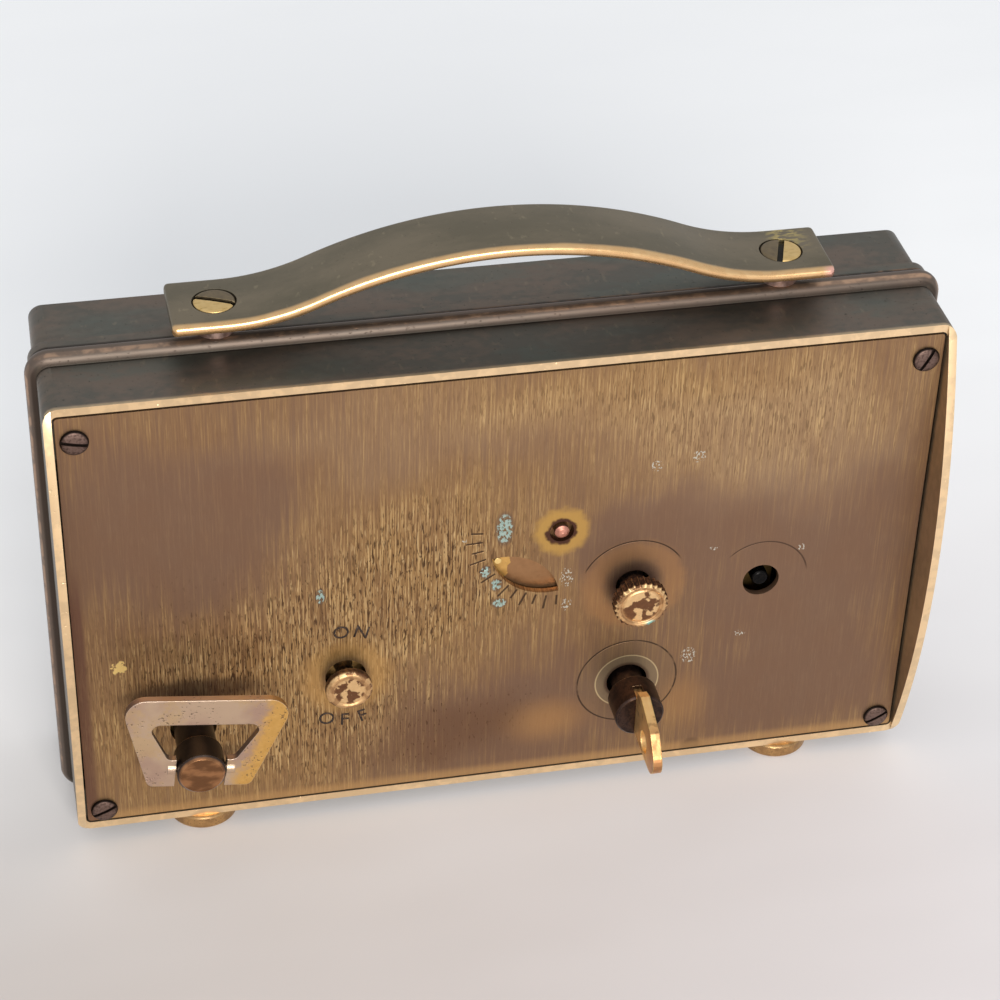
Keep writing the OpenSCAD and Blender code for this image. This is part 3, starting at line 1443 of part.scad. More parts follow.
module governor_frame() {
    x = governor_x - frame_x;
    w = 2 * frame_x;
    far = 1.7 - worm_y;
    color(brass) placed() difference() {
        union() {
            slab(bed_f, 2 - governor_p[0]) {
                translate([x, frame_low]) square([1, frame_high + 1 - frame_low]);
                translate([x + w - 1, frame_low]) square([1, 13]);
            }
            slab(bed_f, far) for (z = [frame_low, frame_high]) translate([x, z]) square([w, 1]);
            slab(bed_f, bed_f + 1) {
                translate([x, frame_low - 3.4]) square([w, 3.6]);
                translate([x, frame_high + 0.8]) square([w, 3.6]);
            }
        }
        cross_rod(governor_p, pivot_r + pivot_gap, x - 1, x + w + 1);
        translate([governor_x, worm_y, frame_low - 1])
            cylinder(h = frame_high - frame_low + 4, r = pivot_r + pivot_gap, $fn = 48);
        for (p = frame_screws) rod(p, small_thread_r + fit_gap, bed_f - 1, bed_f + 2);
    }
}

worm_tooth = [[-0.3, -0.35], [-0.1, 0.35], [0.1, 0.35], [0.3, -0.35]];

module governor_wheel() {
    x = governor_x - frame_x + 1;
    color(brass) placed() {
        cross_rod(governor_p, arbor_r, x + end_shake, x + 2 * frame_x - 2 - end_shake);
        cross_rod(governor_p, pivot_r, x - 1, drive_x + drive_w);
        side_slab(drive_x - 0.1, drive_x + drive_w + 0.1) translate(governor_p)
            polygon(toothed(governor_leaves, drive_m,
                meshed(governor_turn, 0, drive_n, governor_leaves), leaf_tooth));
        side_slab(governor_x - 0.6, governor_x + 0.6) translate(governor_p)
            polygon([for (i = [0:worm_n - 1], t = worm_tooth)
                polar(worm_wheel_r + t[1], (i + t[0]) * 360 / worm_n)]);
    }
}

module governor_fan() {
    color(brass) placed() translate([governor_x, worm_y, 0]) {
        translate([0, 0, frame_low]) cylinder(h = frame_high + 1 - frame_low, r = pivot_r, $fn = 48);
        translate([0, 0, frame_low + 1 + end_shake])
            cylinder(h = frame_high - frame_low - 1 - 2 * end_shake, r = arbor_r, $fn = 48);
        translate([0, 0, governor_p[1] - worm_l / 2]) rotate(180 * worm_l / worm_lead - 90)
            linear_extrude(worm_l, twist = 360 * worm_l / worm_lead, slices = 70)
            translate([0.3, 0]) circle(1.4, $fn = 16);
        translate([-fan_r, -0.25, fan_low]) cube([2 * fan_r, 0.5, fan_high - fan_low]);
    }
}

stop_angle = pull_travel / stop_arm * 180 / PI;
fan_v = [governor_x - stop_x, -worm_y - stop_d];
brake_v = fan_v - fan_v / norm(fan_v) * (fan_r + 0.65);
brake_rest = [brake_v[0] * cos(stop_angle) - brake_v[1] * sin(stop_angle),
    brake_v[0] * sin(stop_angle) + brake_v[1] * cos(stop_angle)];

module music_stop_lever() {
    color(steel) placed() translate([stop_x, -stop_d, stop_z]) mirror([0, 1, 0]) {
        translate([0, 0, -stop_w / 2]) linear_extrude(stop_w) {
            link([0, 0], brake_rest, 0.8);
            link([0, 0], [stop_arm - 2.6, 0], 0.8);
            circle(1.1, $fn = 48);
        }
        difference() {
            translate([stop_arm - 3, -0.4, -2.4]) cube([4, 0.8, 4.8]);
            translate([stop_arm - 1.4, -1, -1.1]) cube([4, 2, 2.2]);
        }
        translate([0, 0, -2.5]) cylinder(h = 5, r = pivot_r, $fn = 48);
    }
}

module pull_knob() {
    o = pull_out;
    r = pull_head_r;
    color(worn_brass) placed() {
        turned(pull_p, [[0, 0.25 - o], [r - 1.1, 0.25 - o], [r - 0.9, -o], [r - 0.4, -o], [r, 0.4 - o],
            [r, pull_head_t - 0.3 - o], [r - 0.3, pull_head_t - o], [pull_rod_r, pull_head_t - o],
            [pull_rod_r, stop_d - 1.2], [0.9, stop_d - 1.2], [0.9, stop_d + 1.2],
            [pull_rod_r, stop_d + 1.2], [pull_rod_r, rod_end], [0, rod_end]]);
    }
}

module music_key_stem() {
    b = music_barrel_l;
    r = music_barrel_r;
    color(dark_metal) placed() difference() {
        union() {
            turned(music_p, [[0, -b], [r - 0.6, -b], [r, 0.6 - b], [r, -music_shank_l],
                [0, -music_shank_l]]);
            rod(music_p, music_shank_r, -music_shank_l - 0.5, bed_d - 0.6);
        }
        rod(music_p, key_arbor_r, 1 - music_shank_l, bed_d);
        at3(music_p) rotate([0, -music_turn, 0]) translate([0, loop_out, 0])
            cross_rod([0, 0], loop_pin_r, -2 * r, 2 * r);
    }
}

// Direction of the outer tangent of two circles on the side of +X.
function side_turn(a, ra, b, rb) = turn_of(b - a) + acos((ra - rb) / norm(b - a));

// Trapezoid that stands on the level z1, with round corners.
module trapezoid(top, low, z1, z2, r_top, r_low) {
    a = [top - r_top, z2 - r_top];
    b = [low - r_low, z1 + r_low];
    t = side_turn(a, r_top, b, r_low);
    half = [[a[0], z2], a + polar(r_top, t), b + polar(r_low, t), [b[0], z1]];
    polygon(concat(half, [for (i = [3:-1:0]) [-half[i][0], half[i][1]]]));
    for (s = [-1, 1]) {
        translate([s * a[0], a[1]]) circle(r_top, $fn = 64);
        translate([s * b[0], b[1]]) circle(r_low, $fn = 48);
    }
}

module music_key_loop() {
    bar = loop_bar;
    color(nickel) placed() at3(music_p) rotate([0, -music_turn, 0]) translate([0, loop_out, 0])
        difference() {
            union() {
                slab(-loop_t / 2, loop_t / 2) difference() {
                    trapezoid(loop_top, loop_bottom, -loop_down, loop_up, loop_corner_r, 1.4);
                    trapezoid(loop_top - bar, loop_bottom - 2.9, 2.1, loop_up - bar - 0.6, 1.4, 1.2);
                    translate([-loop_gap, -loop_down - 1]) square([2 * loop_gap, loop_down + 6]);
                }
                for (s = [-1, 1]) translate([s * (loop_gap + 0.7), 0, 0])
                    cross_rod([0, 0], 1.1, -0.7, 0.7);
            }
            cross_rod([0, 0], loop_pin_r + pivot_gap, -pin_l - 1, pin_l + 1);
        }
}

module music_key_pin() {
    color(steel) placed() at3(music_p) rotate([0, -music_turn, 0]) translate([0, loop_out, 0])
        cross_rod([0, 0], loop_pin_r, -pin_l, pin_l);
}

rear_shell();
front_shell();
back_plate();
back_plate_screws();
handle_strap();
handle_screws();
handle_spacers();
case_nuts();
feet();
dial_bezel();
dial_glass();
dial_plate();
grille();
hour_hand();
minute_hand();
alarm_hand();
clock_front_plate();
clock_back_plate();
clock_pillars();
movement_screws();
mainspring_barrel();
barrel_arbor();
mainspring();
ratchet_wheel();
ratchet_click();
click_spring();
center_wheel();
third_wheel();
fourth_wheel();
escape_wheel();
pallet_lever();
balance_wheel();
hairspring();
balance_cock();
regulator_disc();
winding_key();
winding_key_wing();
center_arbor();
minute_wheel();
hour_wheel();
alarm_wheel();
time_set_knob();
alarm_set_arbor();
alarm_lever();
music_bedplate();
music_drum();
music_spring();
music_arbor();
music_cylinder();
cylinder_brackets();
music_comb();
governor_frame();
governor_wheel();
governor_fan();
music_stop_lever();
pull_knob();
music_key_stem();
music_key_loop();
music_key_pin();
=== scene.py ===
# %% [markdown]
# # A musical alarm clock, seen from behind
# The clock stands in a small brass case that is shaped like a portable radio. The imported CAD
# model gives every solid and every joint, and this lesson gives it its looks: brushed and browned
# brass, dark screws, worn keys, and engraved marks round the knobs.

import json
import math

import bmesh
import bpy
from mathutils import Matrix, Vector


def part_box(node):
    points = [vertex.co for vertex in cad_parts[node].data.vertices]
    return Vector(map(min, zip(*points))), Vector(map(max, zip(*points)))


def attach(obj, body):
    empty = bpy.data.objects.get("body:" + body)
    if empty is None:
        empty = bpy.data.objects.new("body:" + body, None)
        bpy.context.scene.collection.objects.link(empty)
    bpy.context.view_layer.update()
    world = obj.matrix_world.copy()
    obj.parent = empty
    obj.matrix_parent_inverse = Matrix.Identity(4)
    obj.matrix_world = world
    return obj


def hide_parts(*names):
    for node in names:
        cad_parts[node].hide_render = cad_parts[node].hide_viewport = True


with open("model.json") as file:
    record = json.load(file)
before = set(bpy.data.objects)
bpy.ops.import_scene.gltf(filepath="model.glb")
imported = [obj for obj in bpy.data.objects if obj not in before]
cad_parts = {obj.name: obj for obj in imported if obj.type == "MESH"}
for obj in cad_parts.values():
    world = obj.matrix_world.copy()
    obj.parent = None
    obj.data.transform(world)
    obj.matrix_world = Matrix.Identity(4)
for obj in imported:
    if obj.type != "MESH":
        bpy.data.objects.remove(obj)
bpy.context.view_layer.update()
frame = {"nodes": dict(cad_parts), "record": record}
nodes = frame["nodes"]

# %% [markdown]
# ## Places
# Every place comes from the frame. The back plate's outer face is the level that all the keys and
# knobs stand on, and "out" is a distance from it in millimetres. Seen from behind, the right hand
# is the frame's -X.

# %% Places on the back
MM = 0.001
plate_low, plate_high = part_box("back_plate")
BACK = plate_high.y / MM
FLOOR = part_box("feet")[0].z / MM


def middle(node):
    """The x and z of a node's middle, in millimetres."""
    low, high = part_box(node)
    return (low.x + high.x) / 2 / MM, (low.z + high.z) / 2 / MM


def reach(node):
    """How far a node stands out of the back plate, in millimetres."""
    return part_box(node)[1].y / MM - BACK


time_spot = middle("time_set_knob")
pull_spot = middle("pull_knob")
wind_spot = middle("winding_key")
music_spot = middle("music_key_stem")
alarm_spot = middle("alarm_set_arbor")
regulator_spot = middle("regulator_disc")
dial_spot = middle("dial_bezel")
print("back plate at y", round(BACK, 2), "pull knob", [round(v, 2) for v in pull_spot])

# %% [markdown]
# ## Camera
# The photograph was taken from behind, from well above and a little from the left, with a long
# lens. The camera's place and its two directions were fitted to six corners of the case, four
# round the back and two at the top of the front, so the render can be laid over the photograph.

# %% Camera
EYE = Vector((83.03, 359.61, 335.03)) * MM
AHEAD = Vector((-0.18019, -0.78233, -0.59624)).normalized()
ASIDE = Vector((-0.97829, 0.20565, 0.02582)).normalized()
FOCAL_SHARE = 2.7297  # the focal length, as a share of the picture's width

camera_data = bpy.data.cameras.new("camera")
camera_data.sensor_width = 36
camera_data.lens = FOCAL_SHARE * camera_data.sensor_width
camera_data.clip_start = 0.01
camera = bpy.data.objects.new("camera", camera_data)
bpy.context.scene.collection.objects.link(camera)
above = ASIDE.cross(AHEAD)
turn = Matrix((ASIDE, above, -AHEAD)).transposed()
camera.matrix_world = Matrix.Translation(EYE) @ turn.to_4x4()
bpy.context.scene.camera = camera
bpy.context.scene.view_settings.view_transform = "Standard"
print("lens", round(camera_data.lens, 1), "mm, distance", round(EYE.length, 3), "m")

# %% [markdown]
# ## Wires: shader maths as Python
# A shader is a set of nodes, and its maths is easier to read as an expression. A Wire stands for
# one output socket. Adding, subtracting or multiplying wires adds the Math nodes that do it. The
# Finish class holds one material, and its method node adds every other kind of node.


# %% The Wire class
class Wire:
    """One output socket that can be used in Python expressions."""

    def __init__(self, finish, socket):
        self.finish = finish
        self.socket = socket

    def __add__(self, other):
        return self.finish.math("ADD", self, other)

    def __sub__(self, other):
        return self.finish.math("SUBTRACT", self, other)

    def __rsub__(self, other):
        return self.finish.math("SUBTRACT", other, self)

    def __mul__(self, other):
        return self.finish.math("MULTIPLY", self, other)

    def __pow__(self, other):
        return self.finish.math("POWER", self, other)

    def __abs__(self):
        return self.finish.math("ABSOLUTE", self)

    __radd__ = __add__
    __rmul__ = __mul__


def paint(red, green, blue):
    """A screen colour from 0 to 255 as the linear colour that a shader works with."""
    shares = [c / 255 for c in (red, green, blue)]
    linear = [s / 12.92 if s < 11 / 255 else ((s + 0.055) / 1.055) ** 2.4 for s in shares]
    return (*linear, 1.0)


# %% The Finish class
class Finish:
    """One procedural material. Its positions are millimetres of the shared frame at rest."""

    def __init__(self, name):
        self.material = bpy.data.materials.new(name)
        self.material.use_nodes = True
        self.tree = self.material.node_tree
        self.tree.nodes.clear()
        here = self.node("ShaderNodeTexCoord", out="Object")
        in_mm = {0: here, "Scale": 1000.0}
        self.place = self.node("ShaderNodeVectorMath", {"operation": "SCALE"}, in_mm)
        self.x, self.y, self.z = self.split(self.place)

    def node(self, kind, settings=None, sockets=None, out=0):
        """Adds one node: its settings come first, then the values or links of its sockets."""
        made = self.tree.nodes.new(kind)
        for key, value in (settings or {}).items():
            setattr(made, key, value)
        for key, value in (sockets or {}).items():
            if isinstance(value, Wire):
                self.tree.links.new(value.socket, made.inputs[key])
            else:
                made.inputs[key].default_value = value
        return None if out is None else Wire(self, made.outputs[out])

    def math(self, operation, *values):
        return self.node("ShaderNodeMath", {"operation": operation}, dict(enumerate(values)))

    def split(self, vector):
        parts = self.node("ShaderNodeSeparateXYZ", None, {0: vector}).socket.node.outputs
        return [Wire(self, socket) for socket in parts]

    def ease(self, value, low, high):
        """Goes smoothly from 0 at low to 1 at high, and the other way where high is less."""
        sockets = {"Value": value, "From Min": low, "From Max": high}
        return self.node("ShaderNodeMapRange", {"interpolation_type": "SMOOTHSTEP"}, sockets)

    def mix(self, share, first, second):
        """A colour between two others."""
        sockets = {0: share, 6: first, 7: second}
        return self.node("ShaderNodeMix", {"data_type": "RGBA"}, sockets, out=2)

    def noise(self, per_mm, detail=3.0, seed=0.0, vector=None):
        """Noise from 0 to 1. per_mm is its fineness along x, y and z."""
        grown = self.node("ShaderNodeVectorMath", {"operation": "MULTIPLY_ADD"},
            {0: vector or self.place, 1: per_mm, 2: (seed, seed, seed)})
        return self.node("ShaderNodeTexNoise", None, {"Vector": grown, "Scale": 1.0, "Detail": detail})

    def patch(self, spot, size, soft=0.6, vector=None):
        """1 inside an ellipse on the back or the front, falling to 0 at its edge."""
        away = self.node("ShaderNodeVectorMath", {"operation": "SUBTRACT"},
            {0: vector or self.place, 1: (spot[0], 0, spot[1])})
        share = self.node("ShaderNodeVectorMath", {"operation": "MULTIPLY"},
            {0: away, 1: (1 / size[0], 0, 1 / size[1])})
        length = self.node("ShaderNodeVectorMath", {"operation": "LENGTH"}, {0: share}, out="Value")
        return self.ease(length, 1.0, 1.0 - soft)

    def round_about(self, spot, sign=1):
        """The distance from a spot, and the angle round it as seen from behind, from -180 to 180.

        With sign -1 the angle is taken from the opposite side, so that the left is 0."""
        right = (spot[0] - self.x) * sign
        up = (self.z - spot[1]) * sign
        radius = (right * right + up * up) ** 0.5
        angle = self.math("ARCTAN2", up, right) * (180 / math.pi)
        return radius, angle

    def line(self, distance, width, blur=0.08):
        """1 on a line of a width where distance is the distance from its middle."""
        return self.ease(abs(distance), width / 2 + blur, width / 2)

    def edges(self, radius, most=0.25):
        """1 on the edges that fingers rub, and the normal with these edges rounded by a radius."""
        soft = self.node("ShaderNodeBevel", {"samples": 6}, {"Radius": radius * MM})
        plain = self.node("ShaderNodeNewGeometry", out="Normal")
        both = {0: soft, 1: plain}
        same = self.node("ShaderNodeVectorMath", {"operation": "DOT_PRODUCT"}, both, out="Value")
        return self.ease(same, 1.0 - most * 0.1, 1.0 - most), soft

    def surface(self, colour, roughness, metallic, height=None, depth=0.05, normal=None):
        """Joins the shader. height is 0 to 1, and depth is what 1 stands for in millimetres."""
        sockets = {"Base Color": colour, "Roughness": roughness, "Metallic": metallic}
        if height is not None:
            bump = {"Height": height, "Distance": depth * MM, "Strength": 1.0}
            if normal is not None:
                bump["Normal"] = normal
            sockets["Normal"] = self.node("ShaderNodeBump", None, bump)
        shader = self.node("ShaderNodeBsdfPrincipled", None, sockets)
        self.node("ShaderNodeOutputMaterial", None, {"Surface": shader}, out=None)
        return self.material

    def shader(self):
        """The Principled node, for the constants that are set on its own sockets."""
        return next(n for n in self.tree.nodes if n.type == "BSDF_PRINCIPLED")


def finish(node, material):
    """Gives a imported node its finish."""
    nodes[node].data.materials.clear()
    nodes[node].data.materials.append(material)
    return nodes[node]


print("shader helpers ready")

# %% [markdown]
# ## The brushed back plate
# The plate was brushed upright and lacquered. The lacquer wore off where hands touched it, so it
# is golden and spotted there, and brown and smooth elsewhere. Fine upright noise gives the
# brushing, wide soft patches give the worn regions, and rings round the axes give the engraved
# marks. All of it is one expression in millimetres, so the marks stay round the holes.

# %% Back plate finish
RIGHT_OF_MIDDLE = -1  # seen from behind, the right hand is -X


def seen(right, up):
    """A spot on the back: millimetres to the right of the middle and above the case's underside."""
    return RIGHT_OF_MIDDLE * right, up + plate_low.z / MM - 1.95


GOLDEN = [((-46, 22), (40, 34)), ((-14, 48), (38, 30)), ((42, 74), (40, 18)), ((16, 82), (52, 12))]
BROWN = [((-58, 64), (36, 26)), ((54, 38), (34, 34)), ((4, 15), (32, 20)), ((24, 52), (24, 14)),
    ((54, 14), (30, 18))]
BUSY = [((-44, 34), (40, 30)), ((-16, 46), (30, 24)), ((-20, 16), (50, 14))]


def marks_on_plate(f):
    """How deep the engraved marks are, from 0 to 1."""
    wind_r, _ = f.round_about(wind_spot)
    time_r, time_a = f.round_about(time_spot)
    alarm_r, alarm_a = f.round_about(alarm_spot)
    tick_r, tick_a = f.round_about(regulator_spot, -1)
    worn = f.ease(f.noise((0.35, 0, 0.35), 2, 11), 0.35, 0.5)
    rings = f.line(wind_r - 9.0, 0.22) * (0.35 + 0.65 * worn)
    rings = rings + f.line(time_r - 9.4, 0.18) * f.ease(time_a, 25, 40) * f.ease(time_a, 160, 150)
    rings = rings + f.line(alarm_r - 8.3, 0.2) * f.ease(alarm_a, 5, 20) * f.ease(alarm_a, 140, 128) * 0.8
    step = 7.8
    first = -5.3
    along = f.math("FLOORED_MODULO", tick_a - (first - step / 2), step) - step / 2
    pair = f.math("FLOORED_MODULO", tick_a - (first - step), 2 * step) - step
    outer = 15.7 + 0.8 * f.ease(abs(pair), 3.6, 4.2)
    ticks = f.line(along * tick_r * (math.pi / 180), 0.3)
    ticks = ticks * f.ease(tick_r, 13.5, 13.7) * f.ease(tick_r - outer, 0.1, -0.1)
    ticks = ticks * f.ease(tick_a, first - 2, first - 1) * f.ease(tick_a, 90.5, 89.5)
    return f.math("MINIMUM", rings + ticks, 1.0)


def plate_finish():
    f = Finish("brushed_back")
    bend = f.noise((0.05, 0, 0.05), 2, 3)
    warped = f.node("ShaderNodeVectorMath", {"operation": "MULTIPLY_ADD"},
        {0: f.node("ShaderNodeCombineXYZ", None, {0: bend, 2: f.noise((0.05, 0, 0.05), 2, 8)}),
        1: (26, 0, 26), 2: f.place})
    warped = f.node("ShaderNodeVectorMath", {"operation": "ADD"}, {0: warped, 1: (-13, 0, -13)})
    fine = f.noise((3.6, 0, 0.1), 3, 1)
    coarse = f.noise((1.3, 0, 0.05), 3, 2)
    dash = f.noise((3.6, 0, 0.4), 2, 21)
    golden = 0.36
    for spot, size in GOLDEN:
        golden = golden + f.patch(seen(*spot), size, 0.95, warped) * 0.6
    for spot, size in BROWN:
        golden = golden - f.patch(seen(*spot), size, 0.95, warped) * 0.65
    golden = f.ease(golden + (fine - 0.5) * 0.8 + (coarse - 0.5) * 0.9, -0.15, 1.15)
    colour = f.mix(golden, paint(130, 102, 82), paint(172, 136, 88))
    busy = 0.0
    for spot, size in BUSY:
        busy = busy + f.patch(seen(*spot), size, 0.9, warped)
    amount = f.math("MINIMUM", 0.04 + 0.5 * golden * golden + 0.9 * busy * golden, 1.0)
    pale = f.patch(seen(46, 70), (40, 22), 0.9, warped) + f.patch(seen(-4, 78), (60, 14), 0.9, warped) * 0.6
    colour = f.mix(f.math("MINIMUM", pale, 1.0) * 0.4, colour, paint(178, 152, 124))
    cut = (fine - 0.5) * 2.2 + (coarse - 0.5) * 0.8
    colour = f.mix(f.ease(cut, 0.0, 0.36) * amount * 0.75, colour, paint(222, 188, 134))
    colour = f.mix(f.ease(cut, 0.0, -0.36) * amount * 0.75, colour, paint(98, 70, 46))
    dark = f.ease(dash + (coarse - 0.5) * 0.3, 0.54, 0.62)
    colour = f.mix(dark * amount * 0.9, colour, paint(70, 48, 32))
    gleam = f.ease(f.noise((4.0, 0, 0.3), 2, 51), 0.57, 0.66)
    colour = f.mix(gleam * amount * 0.6, colour, paint(236, 204, 150))
    pits = f.ease(f.noise((2.2, 0, 0.7), 2, 41), 0.62, 0.68) * f.math("MINIMUM", busy, 1.0)
    colour = f.mix(pits * 0.8, colour, paint(62, 42, 28))
    cloud = f.ease(f.noise((0.12, 0, 0.1), 3, 51), 0.3, 0.7)
    colour = f.mix(cloud * 0.25, colour, paint(130, 96, 72))
    colour = rubbed_round_the_holes(f, colour)
    marks = marks_on_plate(f)
    colour = f.mix(marks * 0.85, colour, paint(62, 46, 36))
    colour = salts(f, colour)
    edge = f.ease(f.z, plate_low.z / MM + 2.6, plate_low.z / MM + 0.6)
    low_stain = f.patch(seen(-6, 14), (20, 12), 0.9, warped)
    colour = f.mix(low_stain * 0.45, colour, paint(103, 70, 46))
    colour = f.mix(edge * 0.5, colour, paint(204, 161, 106))
    strip = f.ease(f.x + (fine - 0.5) * 1.5, plate_high.x / MM - 2.4, plate_high.x / MM - 1.4)
    colour = f.mix(strip * f.ease(f.z, 62, 50) * 0.75, colour, paint(110, 77, 65))
    rough = 0.5 - 0.1 * golden + 0.12 * (coarse - 0.5)
    height = fine * 0.6 + dash * 0.3 - marks * 1.5
    return f.surface(colour, rough, 0.85, height, 0.02)


# %% [markdown]
# Fingers and the turning keys rubbed the plate round its holes. The verdigris is a few pale
# turquoise crusts beside the speed window. Each of these is a small patch with a ragged edge.


# %% Rubbed spots and salts
SALTS = [((-0.5, 56.4), (2.1, 4.6)), ((-3.6, 47.6), (1.3, 1.8)), ((-1.7, 44.6), (1.5, 1.8)),
    ((-1.0, 40.6), (1.8, 1.4)), ((-31.8, 46.2), (1.1, 2.2)), ((22.5, 33.4), (1.5, 1.0))]
SPECKS = [((32.5, 67.4), (1.7, 2.0)), ((25.2, 66.2), (1.6, 1.6)), ((10.6, 44.6), (1.8, 3.0)),
    ((10.8, 38.6), (1.4, 2.2)), ((42.6, 27.8), (1.6, 1.0)), ((-7.5, 54.6), (1.0, 0.8)),
    ((36.6, 47.4), (1.4, 0.7)), ((52.4, 45.6), (1.2, 1.0)), ((33.5, 24.0), (2.2, 2.6))]


def rubbed_round_the_holes(f, colour):
    """The plate's colour with rubbed and darker rings round its holes, and painted shadow by the
    hand-setting knob and the music key.
    """
    ragged = (f.noise((0.5, 0, 0.5), 3, 61) - 0.5) * 2.4
    pin_r, _ = f.round_about(regulator_spot)
    colour = f.mix(f.ease(pin_r + ragged, 5.6, 3.8) * 0.85, colour, paint(199, 158, 86))
    colour = f.mix(f.ease(pin_r + ragged, 3.0, 2.3), colour, paint(84, 55, 43))
    pull_r, _ = f.round_about(pull_spot)
    colour = f.mix(f.ease(pull_r + ragged, 9.4, 5.6) * 0.6, colour, paint(202, 158, 96))
    colour = f.mix(f.ease(pull_r + ragged * 0.5, 5.0, 3.6) * 0.6, colour, paint(115, 89, 67))
    time_r, _ = f.round_about(time_spot)
    colour = f.mix(f.ease(abs(time_r - 7.2) + ragged, 3.2, 0.6) * 0.5, colour, paint(175, 130, 86))
    # Painted shadow: the plate round the hand-setting knob's foot is darkened.
    colour = f.mix(f.ease(time_r + ragged * 0.5, 6.0, 3.2) * 0.85, colour, paint(79, 58, 48))
    wind_r, _ = f.round_about(wind_spot)
    colour = f.mix(f.ease(wind_r + ragged * 0.3, 9.6, 8.6) * 0.35, colour, paint(134, 110, 84))
    colour = f.mix(f.line(wind_r - 4.9, 1.3, 0.5) * 0.6, colour, paint(144, 127, 101))
    colour = f.mix(f.line(wind_r - 5.7, 0.15) * 0.6, colour, paint(228, 204, 156))
    colour = f.mix(f.ease(wind_r, 4.4, 3.8) * 0.7, colour, paint(84, 67, 55))
    # Painted shadow: a dark band on the plate just above the music key's loop, and a fainter dark band lower
    # down.
    loop_shadow_and_low_band = f.patch(seen(-54, 28.6), (15, 3.4), 0.5)
    loop_shadow_and_low_band = loop_shadow_and_low_band + f.patch(seen(-54, 14.6), (14, 2.4), 0.6) * 0.5
    colour = f.mix(f.math("MINIMUM", loop_shadow_and_low_band, 1.0) * 0.7, colour, paint(84, 65, 50))
    copper = f.patch(seen(8, 12.8), (11, 7), 0.9) + f.patch(seen(33, 13.5), (7, 9), 0.9) * 0.7
    colour = f.mix(f.math("MINIMUM", copper, 1.0) * 0.38, colour, paint(206, 154, 91))
    frays = (f.noise((1.1, 0, 1.1), 3, 63) - 0.5) * 4.0
    bare_r, _ = f.round_about(seen(-66, 35.6))
    bare = f.ease(bare_r + frays, 1.3, 0.9)
    stain = f.patch(seen(35.4, 2.6), (2.4, 2.0), 0.5)
    colour = f.mix(bare * 0.9, colour, paint(255, 223, 144))
    return f.mix(stain * 0.75, colour, paint(77, 58, 53))


def salts(f, colour):
    """Adds the turquoise crusts and the pale specks."""
    crumbs = f.ease(f.noise((2.2, 0, 1.3), 3, 71), 0.42, 0.56)
    crust = 0.0
    for spot, size in SALTS:
        crust = crust + f.patch(seen(*spot), size, 0.7)
    dust = 0.0
    for spot, size in SPECKS:
        dust = dust + f.patch(seen(*spot), size, 0.8)
    colour = f.mix(f.ease(crust, 0.02, 0.4) * 0.5, colour, paint(104, 84, 74))
    crust = f.ease(crust * (0.35 + 0.8 * crumbs), 0.4, 0.75) * 0.85
    colour = f.mix(crust, colour, f.mix(crumbs, paint(122, 168, 160), paint(182, 208, 200)))
    bits = f.ease(f.noise((2.8, 0, 2.0), 2, 81), 0.52, 0.6)
    return f.mix(f.ease(dust * bits, 0.25, 0.5) * 0.9, colour, paint(206, 204, 190))


plate_material = plate_finish()
print("plate nodes:", len(plate_material.node_tree.nodes))

# %% [markdown]
# ## The case
# Both shells are brass that has browned and greened. Hands polished the narrow rim round the back
# plate, so it is bright, and its colour is raised further as a painted highlight. The finish finds
# the rim from its depth, and the bead from its place in front of the rim, so one material serves
# the whole shell.

# %% Case finish
shell_low, shell_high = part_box("rear_shell")
JOINT = shell_low.y / MM
MIDDLE_Z = (shell_low.z + shell_high.z) / 2 / MM
HALF_W = (shell_high.x - shell_low.x) / 2 / MM
HALF_H = (shell_high.z - shell_low.z) / 2 / MM
BEAD_OUT = 1.8
BEAD_Y = JOINT + 2.3 + 1.9


